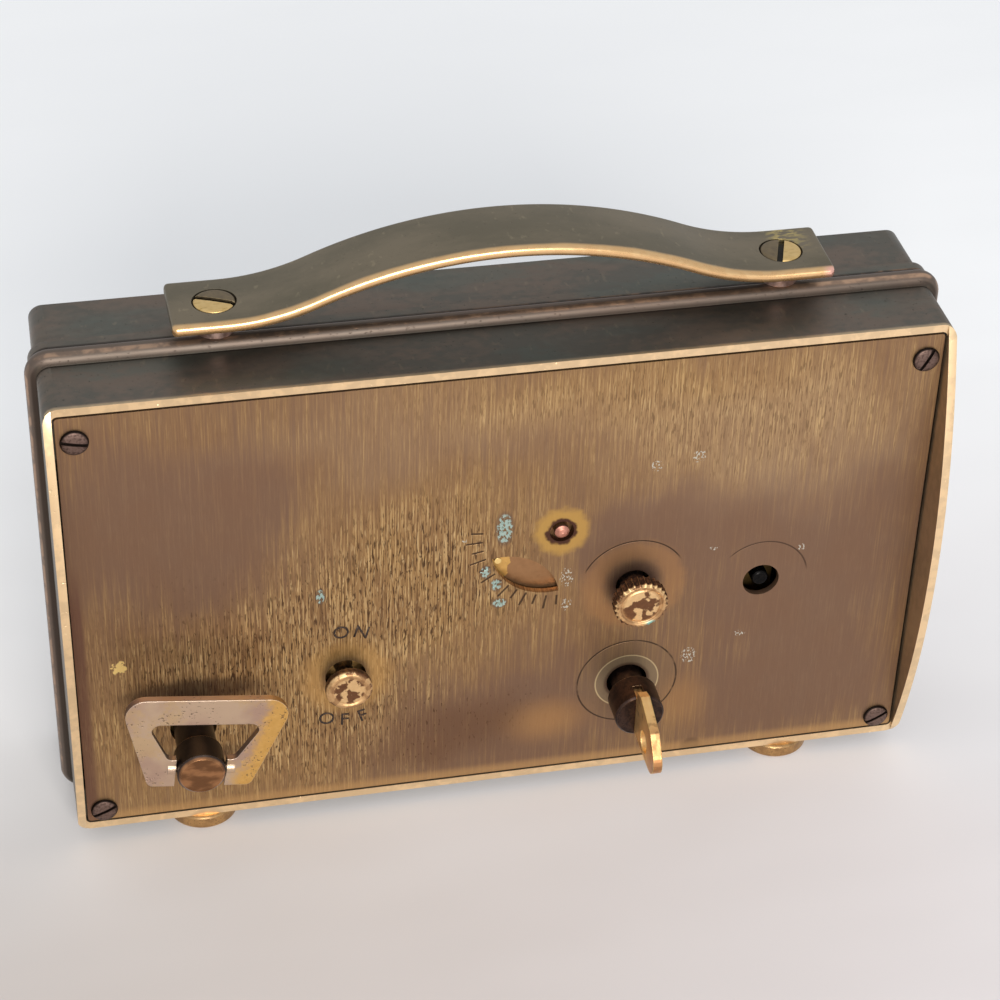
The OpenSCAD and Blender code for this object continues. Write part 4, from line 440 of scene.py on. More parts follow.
def case_finish(name):
    f = Finish(name)
    cloud = f.noise((0.06, 0.12, 0.06), 3, 5)
    fine = f.noise((0.5, 0.7, 0.5), 4, 9)
    grain = f.noise((0.3, 3.0, 0.3), 3, 4)
    colour = f.mix(f.ease(cloud + (fine - 0.5) * 0.5, 0.35, 0.65), paint(99, 95, 87), paint(117, 104, 93))
    green = f.ease(f.noise((0.035, 0.1, 0.035), 3, 15) + (fine - 0.5) * 0.3, 0.5, 0.66)
    colour = f.mix(green * 0.45, colour, paint(94, 104, 97))
    scuff = f.ease(f.noise((0.6, 0.25, 0.6), 5, 33), 0.62, 0.7)
    colour = f.mix(scuff * 0.12, colour, paint(181, 159, 129))
    pits = f.ease(f.noise((1.8, 1.8, 1.8), 2, 23), 0.66, 0.72)
    colour = f.mix(pits * 0.5, colour, paint(50, 45, 37))
    crest = f.math("MAXIMUM", abs(f.x) - (HALF_W - BEAD_OUT), abs(f.z - MIDDLE_Z) - (HALF_H - BEAD_OUT))
    bead = f.ease(abs(f.y - BEAD_Y), 2.2, 1.8) * f.ease(crest, -0.1, 0.3)
    colour = f.mix(bead * 0.6, colour, paint(114, 97, 87))
    worn = f.ease(fine + (cloud - 0.5) * 0.6, 0.42, 0.62)
    side = f.ease(f.x, 40, -40)
    # A thin bright line along the bead's rear crest: partly worn brass, partly a painted highlight, stronger
    # towards -X.
    top = f.line(f.y - (BEAD_Y + 0.85), 0.35, 0.35) * f.ease(crest, 0.6, 1.1)
    colour = f.mix(top * (0.1 + 0.3 * worn + 0.15 * side), colour, paint(228, 184, 150))
    lip = f.line(f.y - (JOINT + 2.1), 0.2, 0.25) * f.ease(crest, 0.4, 0.9) * worn
    colour = f.mix(lip * 0.4 * side, colour, paint(255, 198, 156))
    groove = f.line(f.y - (BEAD_Y - 1.95), 0.45, 0.3) + f.line(f.y - (BEAD_Y + 1.95), 0.4, 0.3)
    colour = f.mix(f.math("MINIMUM", groove, 1.0) * 0.65, colour, paint(47, 40, 35))
    height = fine * 0.5 + grain * 0.3 - pits
    rough = 0.46 + 0.2 * (cloud - 0.5) - 0.1 * top
    inner = f.ease(abs(f.x), HALF_W - BEAD_OUT - 0.25, HALF_W - BEAD_OUT - 0.5)
    rim_place = f.ease(f.y, BACK - 0.5, BACK - 0.1)
    normal = f.node("ShaderNodeTexCoord", out="Normal")
    facing = f.split(normal)[1]
    rim = f.ease(facing, 0.6, 0.9) * rim_place
    rim = f.math("MAXIMUM", rim, f.ease(f.y, BACK - 1.0, BACK - 0.2) * inner * 0.4)
    # The rim's bright colour is polished brass and partly a painted highlight.
    colour = f.mix(rim * (0.84 + 0.16 * worn), colour, paint(250, 218, 172))
    rough = rough - rim * 0.14
    return f.surface(colour, rough, 0.9, height, 0.03)


case_material = case_finish("browned_case")
print("joint between the shells at y", round(JOINT, 2))

# %% [markdown]
# ## Pieces turned on a lathe
# Knobs, screws and feet are turned. A lathe takes a profile of radius and distance out of the
# back, rounds its corners, and spins it. The rounding matters more than anything else here: a
# small bright line on each edge is what makes the metal look real.


# %% Lathe and rounding
def softened(points, cut, steps=4):
    """The points with each inner corner rounded, at most cut millimetres back from the corner."""
    out = [Vector(points[0])]
    for before, corner, after in zip(points, points[1:], points[2:]):
        corner, before, after = Vector(corner), Vector(before), Vector(after)
        back = min(cut, (before - corner).length * 0.45, (after - corner).length * 0.45)
        start = corner + (before - corner).normalized() * back
        end = corner + (after - corner).normalized() * back
        for i in range(steps + 1):
            t = i / steps
            out.append((1 - t) ** 2 * start + 2 * t * (1 - t) * corner + t ** 2 * end)
    out.append(Vector(points[-1]))
    return out


def piece(name, points, faces, material, body, smooth=40):
    """A mesh in millimetres that rides on a body. A tool to carve with has no body."""
    mesh = bpy.data.meshes.new(name)
    mesh.from_pydata([Vector(p) * MM for p in points], [], faces)
    if material:
        mesh.materials.append(material)
    mesh.shade_smooth()
    mesh.set_sharp_from_angle(angle=math.radians(smooth))
    made = bpy.data.objects.new(name, mesh)
    bpy.context.scene.collection.objects.link(made)
    if body:
        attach(made, body)
    return made


def lathe(name, spot, profile, material, body, cut=0.25, wave=None, around=96, upright=None):
    """Spins a profile of (radius, out) round the axis along Y through a spot.

    wave gives a factor on the radius from the angle, the radius and the out. With upright, the
    spot is an x and a y, the axis is along Z, and upright is the height where out is 0."""
    line = softened(profile, cut) if cut else [Vector(p) for p in profile]
    points = []
    for radius, out in line:
        for k in range(around):
            a = 2 * math.pi * k / around
            r = radius * (wave(a, radius, out) if wave else 1)
            right, up = spot[0] + r * math.cos(a), spot[1] + r * math.sin(a)
            points.append((right, BACK + out, up) if upright is None else (right, up, upright + out))
    faces = []
    for i in range(len(line) - 1):
        for k in range(around):
            a, b = i * around + k, i * around + (k + 1) % around
            faces.append((a, b, b + around, a + around))
    faces.append(tuple(reversed(range(around))))
    faces.append(tuple(range((len(line) - 1) * around, len(line) * around)))
    made = piece(name, points, faces, material, body)
    tidy_normals(made)
    return made


def tidy_normals(made):
    """Turns all faces of a closed mesh outwards."""
    bm = bmesh.new()
    bm.from_mesh(made.data)
    bmesh.ops.remove_doubles(bm, verts=bm.verts, dist=1e-7)
    bmesh.ops.recalc_face_normals(bm, faces=bm.faces)
    bm.to_mesh(made.data)
    bm.free()


def carve(made, cutter):
    """Takes the cutter's shape out of a piece for good."""
    step = made.modifiers.new("carve", "BOOLEAN")
    step.operation = "DIFFERENCE"
    step.solver = "EXACT"
    step.object = cutter
    graph = bpy.context.evaluated_depsgraph_get()
    mesh = bpy.data.meshes.new_from_object(made.evaluated_get(graph))
    made.modifiers.clear()
    made.data = mesh
    mesh.set_sharp_from_angle(angle=math.radians(35))
    bpy.data.objects.remove(cutter)


def block(low, high, turn=None):
    """A plain block in millimetres to carve with."""
    points = [(x, y, z) for x in (low[0], high[0]) for y in (low[1], high[1]) for z in (low[2], high[2])]
    faces = [(0, 1, 3, 2), (4, 6, 7, 5), (0, 4, 5, 1), (2, 3, 7, 6), (0, 2, 6, 4), (1, 5, 7, 3)]
    mesh = bpy.data.meshes.new("cutter")
    mesh.from_pydata([(turn @ Vector(p) if turn else Vector(p)) * MM for p in points], [], faces)
    made = bpy.data.objects.new("cutter", mesh)
    bpy.context.scene.collection.objects.link(made)
    return made


print("lathe ready")

# %% [markdown]
# ## Screws
# The four plate screws have gone dark purple-brown, with a rubbed dome. The two handle screws are
# yellow brass on one side of the slot and tarnished on the other. Each head is turned on the lathe
# and its slot is carved at its own angle, as screws stop where they please.


# %% Screw finishes
def screw_finish():
    f = Finish("dark_screw")
    fine = f.noise((2.5, 2.5, 2.5), 4, 6)
    out = f.ease(f.y, BACK + 0.45, BACK + 1.0)
    worn = f.ease(fine + 0.35 * out, 0.55, 0.85)
    colour = f.mix(fine, paint(70, 54, 48), paint(104, 84, 76))
    colour = f.mix(worn * 0.55, colour, paint(136, 112, 102))
    # Painted shade: the slot's bottom and the head's foot next to the plate are darkened.
    colour = f.mix(f.ease(f.y, BACK + 0.7, BACK + 0.5), colour, paint(34, 26, 22))
    return f.surface(colour, 0.36 + 0.2 * fine, 0.9, fine, 0.04)


def yellow_screw_finish(number, spot, slot):
    """Yellow brass on one side of the slot and a brown-olive tarnish on the other."""
    f = Finish(f"yellow_screw_{number}")
    rub, soft = f.edges(0.15)
    fine = f.noise((1.2, 1.2, 1.2), 4, 6 + number)
    turn = math.radians(slot)
    across = (f.y - spot[1]) * math.cos(turn) - (f.x - spot[0]) * math.sin(turn)
    clean = f.ease(across + (fine - 0.5) * 1.5, -0.4, 0.4)
    colour = f.mix(fine, paint(206, 170, 104), paint(228, 200, 144))
    streak = f.ease(f.noise((0.6, 3, 1), 3, 12), 0.55, 0.68)
    colour = f.mix(streak * 0.5, colour, paint(161, 129, 69))
    tarnish = f.mix(fine, paint(90, 78, 64), paint(143, 126, 97))
    colour = f.mix(clean, tarnish, colour)
    colour = f.mix(rub * 0.4, colour, paint(230, 206, 156))
    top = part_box("handle_screws")[1].z / MM
    # Painted shade: the lower part of the slot and the head's sides down in the seat are darkened.
    colour = f.mix(f.ease(f.z, top - 0.35, top - 0.6), colour, paint(34, 30, 23))
    return f.surface(colour, 0.32 + 0.25 * fine, 0.9, fine, 0.03, normal=soft)


# %% The plate screws
screw_material = screw_finish()
low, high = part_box("back_plate_screws")
HEAD_R = 2.35
HEAD_H = reach("back_plate_screws")
slots = (28, 62, 24, 168)
spots = [(x, z) for x in (low.x / MM + HEAD_R, high.x / MM - HEAD_R)
    for z in (low.z / MM + HEAD_R, high.z / MM - HEAD_R)]
for number, (spot, slot) in enumerate(zip(spots, slots)):
    profile = [(HEAD_R - 0.15, 0), (HEAD_R, 0.25), (HEAD_R - 0.25, HEAD_H * 0.72),
        (HEAD_R * 0.6, HEAD_H * 0.93), (0.05, HEAD_H)]
    made = lathe(f"plate_screw_{number}", spot, profile, screw_material, "case", 0.3)
    spin = Matrix.Translation((spot[0], BACK, spot[1])) @ Matrix.Rotation(math.radians(slot), 4, "Y")
    carve(made, block((-3, HEAD_H * 0.5, -0.3), (3, 2, 0.3), spin))
    if number == 0:
        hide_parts("back_plate_screws")
print("plate screws at", [tuple(round(v, 1) for v in s) for s in spots])

# %% [markdown]
# ## The strap
# The handle is one bent strip. Its top has an olive skin, and its long edges are rubbed bright and
# fully round; the edge towards the back is painted brighter than the front one, partly as its
# highlight. A rounded section is carried along the strip's bent middle line, two seats for the
# screws are carved into it, and the ends are drawn in a little. The shells and the back plate keep
# their imported meshes with a bevel. Bevels need joined faces, so a weld goes first.


# %% Rounded edges for imported nodes
def rounded(node, width, material, segments=3):
    """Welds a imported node's faces, rounds its edges by width millimetres and gives its finish."""
    made = finish(node, material)
    weld = made.modifiers.new("weld", "WELD")
    weld.merge_threshold = 1e-6
    bevel = made.modifiers.new("round", "BEVEL")
    bevel.width = width * MM
    bevel.segments = segments
    bevel.limit_method = "ANGLE"
    bevel.angle_limit = math.radians(40)
    bevel.miter_outer = "MITER_ARC"


def strap_finish():
    f = Finish("olive_strap")
    low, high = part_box("handle_strap")
    _, soft = f.edges(0.12)
    cloud = f.noise((0.05, 0.12, 0.08), 3, 7)
    fine = f.noise((0.6, 1.2, 0.6), 4, 17)
    colour = f.mix(f.ease(cloud + (fine - 0.5) * 0.3, 0.3, 0.7), paint(112, 104, 87), paint(129, 118, 99))
    wear = f.patch((low.x / MM + 5.5, high.z / MM - 8), (4.5, 60), 0.8) * f.ease(fine, 0.44, 0.58)
    wear = wear * f.ease(f.y, low.y / MM + 9, low.y / MM + 3)
    colour = f.mix(wear * 0.8, colour, paint(196, 176, 114))
    dust = f.ease(f.noise((0.9, 0.5, 0.9), 4, 27), 0.62, 0.74)
    colour = f.mix(dust * 0.25, colour, paint(174, 159, 129))
    wobble = (f.noise((0.12, 0, 0), 2, 47) - 0.5) * 0.8
    # Both long edges are rubbed bright; the edge towards the back gets the full colour and the front one 0.4
    # of it, partly as a painted highlight.
    edge = f.ease(f.y + wobble, high.y / MM - 1.4, high.y / MM - 0.5)
    far = f.ease(f.y - wobble, low.y / MM + 0.5, low.y / MM + 0.1)
    colour = f.mix(f.math("MAXIMUM", edge, far * 0.4) * 0.95, colour, paint(230, 190, 138))
    colour = f.mix(edge * f.ease(fine, 0.6, 0.45) * 0.2, colour, paint(208, 154, 97))
    pink = f.ease(f.x, low.x / MM + 2.5, low.x / MM + 0.5)
    colour = f.mix(pink * edge * 0.7, colour, paint(255, 193, 186))
    pits = f.ease(f.noise((2.2, 2.2, 2.2), 2, 37), 0.66, 0.72) * (1 - edge)
    colour = f.mix(pits * 0.4, colour, paint(82, 72, 60))
    rough = 0.44 - 0.16 * edge + 0.1 * (fine - 0.5)
    return f.surface(colour, rough, 0.9, fine * 0.5 - pits, 0.02, normal=soft)


# %% The strap's path
strap_low, strap_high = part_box("handle_strap")
STRAP_T = 2.0
HUMP_H = 9.3
HUMP_R = 82.0
BEND_R = 38.0
STRAP_W = (strap_high.y - strap_low.y) / MM
STRAP_L = (strap_high.x - strap_low.x) / MM
STRAP_X = (strap_high.x + strap_low.x) / 2 / MM
STRAP_Y = (strap_high.y + strap_low.y) / 2 / MM
STRAP_Z = strap_low.z / MM


def spread(first, last, count):
    """Evenly spread values, without the last one."""
    return [first + (last - first) * i / count for i in range(count)]


def strap_path():
    """The strip's middle line: x, height and slope angle at each station."""
    both = HUMP_R + BEND_R
    run = math.sqrt(both ** 2 - (both - HUMP_H) ** 2)
    lean = math.asin(run / both)
    half = STRAP_L / 2
    path = [(x, STRAP_T / 2, 0.0) for x in spread(-half, 1 - half, 8) + spread(1 - half, -run, 6)]
    for a in spread(0.0, lean, 12):
        path.append((-run + (BEND_R + STRAP_T / 2) * math.sin(a),
            STRAP_T + BEND_R - (BEND_R + STRAP_T / 2) * math.cos(a), a))
    for a in spread(lean, 0.0, 24):
        path.append((-(HUMP_R - STRAP_T / 2) * math.sin(a),
            STRAP_T + HUMP_H - HUMP_R + (HUMP_R - STRAP_T / 2) * math.cos(a), a))
    top = [(0.0, STRAP_T / 2 + HUMP_H, 0.0)]
    return path + top + [(-x, z, -a) for x, z, a in reversed(path)]


def strap_section(from_end):
    """The rounded section as (across, height) points. It is drawn in close to an end."""
    plan = 0.9 - math.sqrt(max(0.0, 0.81 - max(0.0, 0.9 - from_end) ** 2))
    thin = 0.5 - math.sqrt(max(0.0, 0.25 - max(0.0, 0.5 - from_end) ** 2))
    half_w, half_t = STRAP_W / 2 - plan, STRAP_T / 2 - thin
    r = min(0.92, half_t)
    points = []
    for side, up, start in ((1, 1, 0), (-1, 1, 90), (-1, -1, 180), (1, -1, 270)):
        for step in range(7):
            a = math.radians(start + 15 * step)
            points.append((side * (half_w - r) + r * math.cos(a), up * (half_t - r) + r * math.sin(a)))
    return points


def strap_mesh(material):
    """Carries the section along the path, and closes both ends."""
    points, faces = [], []
    stations = strap_path()
    for x, z, a in stations:
        section = strap_section(STRAP_L / 2 - abs(x))
        for across, up in section:
            points.append((STRAP_X + x - up * math.sin(a), STRAP_Y + across, STRAP_Z + z + up * math.cos(a)))
    n = len(section)
    for i in range(len(stations) - 1):
        for k in range(n):
            a, b = i * n + k, i * n + (k + 1) % n
            faces.append((a, b, b + n, a + n))
    faces.append(tuple(reversed(range(n))))
    faces.append(tuple(range((len(stations) - 1) * n, len(stations) * n)))
    made = piece("strap_bent", points, faces, material, "case")
    tidy_normals(made)
    return made


# %% The strap and its seats
screw_low, screw_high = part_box("handle_screws")
STRAP_HEAD_R = 3.4
STRAP_HEAD_H = 1.3
seat = screw_high.z / MM - STRAP_HEAD_H
strap_screws = [(x, (screw_low.y + screw_high.y) / 2 / MM)
    for x in (screw_low.x / MM + STRAP_HEAD_R, screw_high.x / MM - STRAP_HEAD_R)]
strap = strap_mesh(strap_finish())
for spot in strap_screws:
    hole = [(1.5, -5), (1.5, 0), (STRAP_HEAD_R + 0.25, 0), (STRAP_HEAD_R + 0.25, 5)]
    carve(strap, lathe("seat_cutter", spot, hole, None, None, 0, upright=seat))
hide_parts("handle_strap")
print("strap box", [[round(v / MM, 2) for v in c] for c in (strap_low, strap_high)])

# %% Rounded shells and plate
rounded("rear_shell", 0.35, case_material)
rounded("front_shell", 0.5, case_material)
rounded("back_plate", 0.15, plate_material, segments=2)
print("rounded: rear_shell, front_shell, back_plate")

# %% [markdown]
# ## The handle screws and their spacers
# The two screws that hold the strap sit sunk in round seats. Their flat yellow heads are worn
# through to clean brass, and their slots and sunk sides are painted dark as shade. The spacers
# under the strap show only as pale pinkish rounds.

# %% The handle screws
depth = seat - screw_low.z / MM
for number, (spot, slot) in enumerate(zip(strap_screws, (71, -24))):
    yellow_screw = yellow_screw_finish(number, spot, slot)
    profile = [(1.35, -depth), (1.35, 0), (STRAP_HEAD_R - 0.12, 0), (STRAP_HEAD_R, 0.15),
        (STRAP_HEAD_R, STRAP_HEAD_H - 0.35), (STRAP_HEAD_R - 0.4, STRAP_HEAD_H - 0.08), (0.05, STRAP_HEAD_H)]
    made = lathe(f"strap_screw_{number}", spot, profile, yellow_screw, "case", 0.15, upright=seat)
    spin = Matrix.Translation((spot[0], spot[1], seat)) @ Matrix.Rotation(math.radians(slot), 4, "Z")
    carve(made, block((-4, -0.48, STRAP_HEAD_H * 0.4), (4, 0.48, 3), spin))
    if number == 0:
        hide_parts("handle_screws")
print("strap screws at", [tuple(round(v, 1) for v in s) for s in strap_screws])


# %% Plain metals with rubbed edges
def metal_finish(name, base, second, edge, rough=0.38, grain=(0.8, 0.8, 0.8), round_by=0.2, dirt=None):
    """A metal with two cloudy colours, brighter rubbed edges, and cloudy dirt where dirt is given."""
    f = Finish(name)
    rub, soft = f.edges(round_by)
    cloud = f.noise(grain, 3, 5)
    fine = f.noise(tuple(g * 5 for g in grain), 3, 9)
    colour = f.mix(f.ease(cloud + (fine - 0.5) * 0.4, 0.35, 0.65), base, second)
    if dirt is not None:
        colour = f.mix(f.ease(fine + (cloud - 0.5) * 0.5, 0.62, 0.7) * 0.6, colour, dirt)
    colour = f.mix(rub * (0.5 + 0.5 * fine), colour, edge)
    return f.surface(colour, rough + 0.2 * (fine - 0.5), 0.9, fine * 0.5 + cloud * 0.5, 0.02, normal=soft)


spacer_metal = metal_finish("pinkish_spacer", paint(150, 122, 112), paint(186, 160, 152),
    paint(226, 206, 196))
finish("handle_spacers", spacer_metal)

# %% [markdown]
# ## The hand-setting knob
# This knob turns the hands. Its rim is scalloped so that fingers hold it, and its face is turned
# hollow with a raised ring. The brown skin has worn through in large flakes on the face. The lathe
# makes the scallops with a wave on the radius, which fades out on the face and the stem.


# %% Flaked brass and the hand-setting knob
def flaked_finish(name, spot, top, face_r, flake=0.42, seed=3.0):
    """Dark bronze sides, and a face of bright brass with brown flakes and a bright rim."""
    f = Finish(name)
    rub, soft = f.edges(0.15)
    fine = f.noise((1.8, 1.8, 1.8), 3, seed)
    radius, _ = f.round_about(spot)
    flakes = f.ease(f.noise((flake, 0, flake), 4, seed + 7), 0.47, 0.52)
    face = f.ease(f.y, BACK + top - 0.75, BACK + top - 0.35)
    gold = f.mix(fine, paint(216, 176, 124), paint(242, 206, 154))
    brown = f.mix(fine, paint(94, 64, 46), paint(136, 94, 64))
    colour = f.mix(flakes, brown, gold)
    rim = f.ease(abs(radius - face_r - 0.25) + (fine - 0.5) * 0.5, 0.75, 0.3)
    colour = f.mix(rim * 0.7, colour, paint(196, 154, 108))
    side = f.mix(f.ease(fine, 0.4, 0.7), paint(60, 48, 46), paint(113, 87, 67))
    colour = f.mix(face, side, colour)
    colour = f.mix(rub * (0.35 + 0.5 * fine), colour, paint(248, 202, 140))
    return f, colour, fine, soft


def knob_finish():
    f, colour, fine, soft = flaked_finish("flaked_knob", time_spot, time_out, 3.4)
    salt_spot = (time_spot[0] - 2.2, time_spot[1] - 4.1)
    salt = f.patch(salt_spot, (1.7, 1.1), 0.5) * f.ease(fine, 0.35, 0.5)
    colour = f.mix(salt, colour, paint(140, 196, 184))
    return f.surface(colour, 0.3 + 0.3 * fine, 0.9, fine, 0.03, normal=soft)


time_out = reach("time_set_knob")
time_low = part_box("time_set_knob")[0].y / MM - BACK
KNOB_R = 4.75
SCALLOPS = 28


def scallops(a, radius, out):
    """The knob's scalloped rim: round hollows between narrow ribs."""
    if radius < KNOB_R - 0.6:
        return 1
    fade = min(1, max(0, (radius - KNOB_R + 0.6) / 0.45))
    return 1 - 0.075 * fade * (0.5 + 0.5 * math.cos(SCALLOPS * a)) ** 0.6


profile = [(2.3, time_low), (2.3, 0.7), (2.8, 0.8), (2.8, time_out - 3.0), (4.1, time_out - 3.0),
    (KNOB_R, time_out - 2.6), (KNOB_R, time_out - 0.45), (KNOB_R - 0.55, time_out - 0.05),
    (3.75, time_out - 0.1), (3.55, time_out - 0.4), (3.3, time_out - 0.4), (3.1, time_out - 0.22),
    (0.05, time_out - 0.22)]
knob = lathe("time_set_knob_turned", time_spot, profile, knob_finish(), "time_arbor", 0.12,
    scallops, SCALLOPS * 10)
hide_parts("time_set_knob")
print("hand-setting knob stands out", round(time_out, 2), "mm")

# %% [markdown]
# ## The pull knob
# Pulling this button out lets the music play. It has a low domed rim and a flat, flaked face, and
# its rod runs through the plate with the groove in which the stop lever's finger rests.

# %% Pull knob
pull_out = reach("pull_knob")
pull_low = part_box("pull_knob")[0].y / MM - BACK
PULL_R = 4.05
profile = [(1.5, pull_low), (1.5, pull_low + 0.8), (0.9, pull_low + 0.8), (0.9, pull_low + 3.2),
    (1.5, pull_low + 3.2), (1.5, pull_out - 2.0), (PULL_R - 0.5, pull_out - 2.0), (PULL_R, pull_out - 1.6),
    (PULL_R, pull_out - 0.5), (PULL_R - 0.5, pull_out), (PULL_R - 0.95, pull_out),
    (PULL_R - 1.2, pull_out - 0.22), (0.05, pull_out - 0.18)]
f, colour, fine, soft = flaked_finish("flaked_button", pull_spot, pull_out, 2.9, 0.5, 13.0)
button_metal = f.surface(colour, 0.3 + 0.3 * fine, 0.9, fine, 0.03, normal=soft)
button = lathe("pull_button_turned", pull_spot, profile, button_metal, "puller", 0.2)
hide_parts("pull_knob")
print("pull knob stands out", round(pull_out, 2), "mm")

# %% [markdown]
# ## The winding key
# The clock's key is a dark barrel with a flat brass wing set into its end. The wing's top edge is
# rubbed bright gold, and its end has gone copper-brown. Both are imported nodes. Their edges are
# rounded in the shading, by the Bevel node, which costs no faces.


# %% Winding key finishes
def wing_finish():
    f = Finish("gold_wing")
    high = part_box("winding_key_wing")[1]
    rub, soft = f.edges(0.2)
    fine = f.noise((1.5, 0.6, 1.5), 4, 8)
    colour = f.mix(fine, paint(242, 192, 124), paint(255, 224, 162))
    end = f.ease(f.y + (fine - 0.5) * 3, high.y / MM - 7.0, high.y / MM - 1.0)
    colour = f.mix(end * 0.75, colour, paint(183, 115, 71))
    dark = f.ease(f.noise((0.5, 0.4, 0.5), 4, 28), 0.55, 0.62)
    colour = f.mix(dark * 0.45, colour, paint(134, 93, 61))
    colour = f.mix(rub * 0.8, colour, paint(255, 249, 161))
    return f.surface(colour, 0.28 + 0.2 * fine, 0.9, fine, 0.03, normal=soft)


finish("winding_key_wing", wing_finish())
barrel_metal = metal_finish("dark_barrel", paint(46, 36, 34), paint(72, 54, 46), paint(150, 116, 84),
    0.34, dirt=paint(30, 26, 24))
finish("winding_key", barrel_metal)
print("winding key stands out", round(reach("winding_key_wing"), 2), "mm")

# %% [markdown]
# ## The folding music key
# The music is wound with a folding loop on a dark stem. The loop was nickel-plated. Its plating is
# pinkish and speckled on the left, and has worn through to yellow brass at the lower right. The
# stem's cap was rubbed to a coppery brown.


# %% Music key finishes
def loop_finish():
    f = Finish("worn_nickel")
    rub, soft = f.edges(0.25)
    cloud = f.noise((0.14, 0.2, 0.14), 3, 4)
    fine = f.noise((1.3, 1.3, 1.3), 4, 9)
    colour = f.mix(f.ease(cloud, 0.35, 0.65), paint(186, 156, 138), paint(204, 178, 152))
    warm = f.ease(f.noise((0.1, 0, 0.1), 2, 24) + (fine - 0.5) * 0.3, 0.5, 0.62)
    colour = f.mix(warm * 0.45, colour, paint(204, 172, 122))
    right = music_spot[0] - f.x
    up = f.z - music_spot[1]
    brass = f.ease(right * 0.94 - up * 0.34 + (fine - 0.5) * 3.0 + (cloud - 0.5) * 5, 5.2, 8.2)
    colour = f.mix(brass, colour, f.mix(fine, paint(208, 158, 82), paint(230, 186, 112)))
    crowd = (f.noise((0.22, 0.22, 0.22), 2, 44) - 0.5) * 0.5
    speck = f.ease(f.noise((2.4, 2.4, 2.4), 2, 34) + crowd, 0.64, 0.72)
    colour = f.mix(speck * 0.7, colour, paint(96, 78, 64))
    # Painted shade: the loop's faces that don't face the back or the front are darkened.
    side = f.ease(abs(f.split(f.node("ShaderNodeTexCoord", out="Normal"))[1]), 0.7, 0.4)
    colour = f.mix(side * 0.45, colour, paint(128, 110, 102))
    colour = f.mix(rub * 0.5, colour, paint(240, 226, 206))
    rough = 0.36 + 0.18 * (fine - 0.5) + 0.1 * speck
    return f.surface(colour, rough, 0.85, fine * 0.4 - speck, 0.03, normal=soft)


def stem_finish():
    f = Finish("dark_stem")
    rub, soft = f.edges(0.2)
    fine = f.noise((1.0, 1.0, 1.0), 4, 9)
    cap = f.ease(f.y, BACK + reach("music_key_stem") - 0.5, BACK + reach("music_key_stem") - 0.15)
    brown = f.mix(f.ease(f.noise((0.25, 0, 0.5), 3, 14), 0.4, 0.62), paint(121, 84, 56), paint(171, 123, 84))
    colour = f.mix(fine, paint(45, 41, 41), paint(67, 58, 54))
    colour = f.mix(cap, colour, brown)
    colour = f.mix(rub * 0.6, colour, paint(227, 177, 119))
    return f.surface(colour, 0.34 + 0.2 * (fine - 0.5), 0.9, fine, 0.02, normal=soft)


finish("music_key_loop", loop_finish())
finish("music_key_stem", stem_finish())
pin_metal = metal_finish("key_pin", paint(120, 100, 84), paint(150, 126, 104), paint(200, 170, 130))
finish("music_key_pin", pin_metal)
print("music key stands out", round(reach("music_key_stem"), 2), "mm")

# %% [markdown]
# ## The speed regulator
# Behind a lens-shaped window lies a brass disc on the balance's axis. A finger nail moves its
# small lug along the scale. The disc is bright yellow where the skin came off, and a brown print
# of the window's own shape lies beside that.


# %% Regulator finish
def regulator_finish():
    f = Finish("regulator_disc")
    _, soft = f.edges(0.12)
    fine = f.noise((1.2, 1.2, 1.2), 4, 9)
    colour = f.mix(fine, paint(205, 159, 87), paint(237, 191, 115))
    spot = seen(1.9, 46.4)
    right = spot[0] - f.x
    up = f.z - spot[1]
    lean = math.radians(-37)
    along = right * math.cos(lean) + up * math.sin(lean)
    across = up * math.cos(lean) - right * math.sin(lean)
    print_shape = f.ease(along + across * 0.5 + (f.noise((0.9, 0, 0.9), 3, 19) - 0.5) * 3.0, -1.8, -1.4)
    brown = f.mix(fine, paint(146, 108, 78), paint(170, 128, 94))
    colour = f.mix(print_shape * 0.9, colour, brown)
    pin = f.ease(f.y, BACK - 0.35, BACK + 0.05)
    pinkish = f.mix(fine, paint(172, 110, 92), paint(225, 163, 143))
    colour = f.mix(pin, colour, pinkish)
    lug = f.ease(f.y, BACK - 1.6, BACK - 1.3) * f.ease(f.round_about(regulator_spot)[0], 9, 10)
    colour = f.mix(lug * 0.8, colour, paint(255, 225, 150))
    return f.surface(colour, 0.32 + 0.2 * fine, 0.9, fine, 0.03, normal=soft)


finish("regulator_disc", regulator_finish())
print("regulator pin stands out", round(reach("regulator_disc"), 2), "mm")

# %% [markdown]
# ## Engraved words
# Two plain words stand round the pull knob, as on a switch: ON above it and OFF below it. Each
# letter is a thin plate of dark paint, because it must lie in an engraved line. A text curve gives
# a letter's outline, the outline becomes a mesh, and every letter is turned to follow the circle.


# %% Letters on an arc
INK_T = 0.06
INK_OUT = 0.04


def letter_points(text, size):
    """One character as mesh points and faces, in millimetres, with its middle at 0."""
    curve = bpy.data.curves.new("letter", "FONT")
    curve.body = text
    curve.size = size
    curve.extrude = INK_T / 2
    curve.align_x = "CENTER"
    curve.resolution_u = 4
    shown = bpy.data.objects.new("letter", curve)
    bpy.context.scene.collection.objects.link(shown)
    mesh = bpy.data.meshes.new_from_object(shown.evaluated_get(bpy.context.evaluated_depsgraph_get()))
    points = [v.co.copy() for v in mesh.vertices]
    faces = [tuple(p.vertices) for p in mesh.polygons]
    bpy.data.objects.remove(shown)
    middle_y = (min(p.y for p in points) + max(p.y for p in points)) / 2
    return [Vector((p.x, p.y - middle_y, p.z)) for p in points], faces


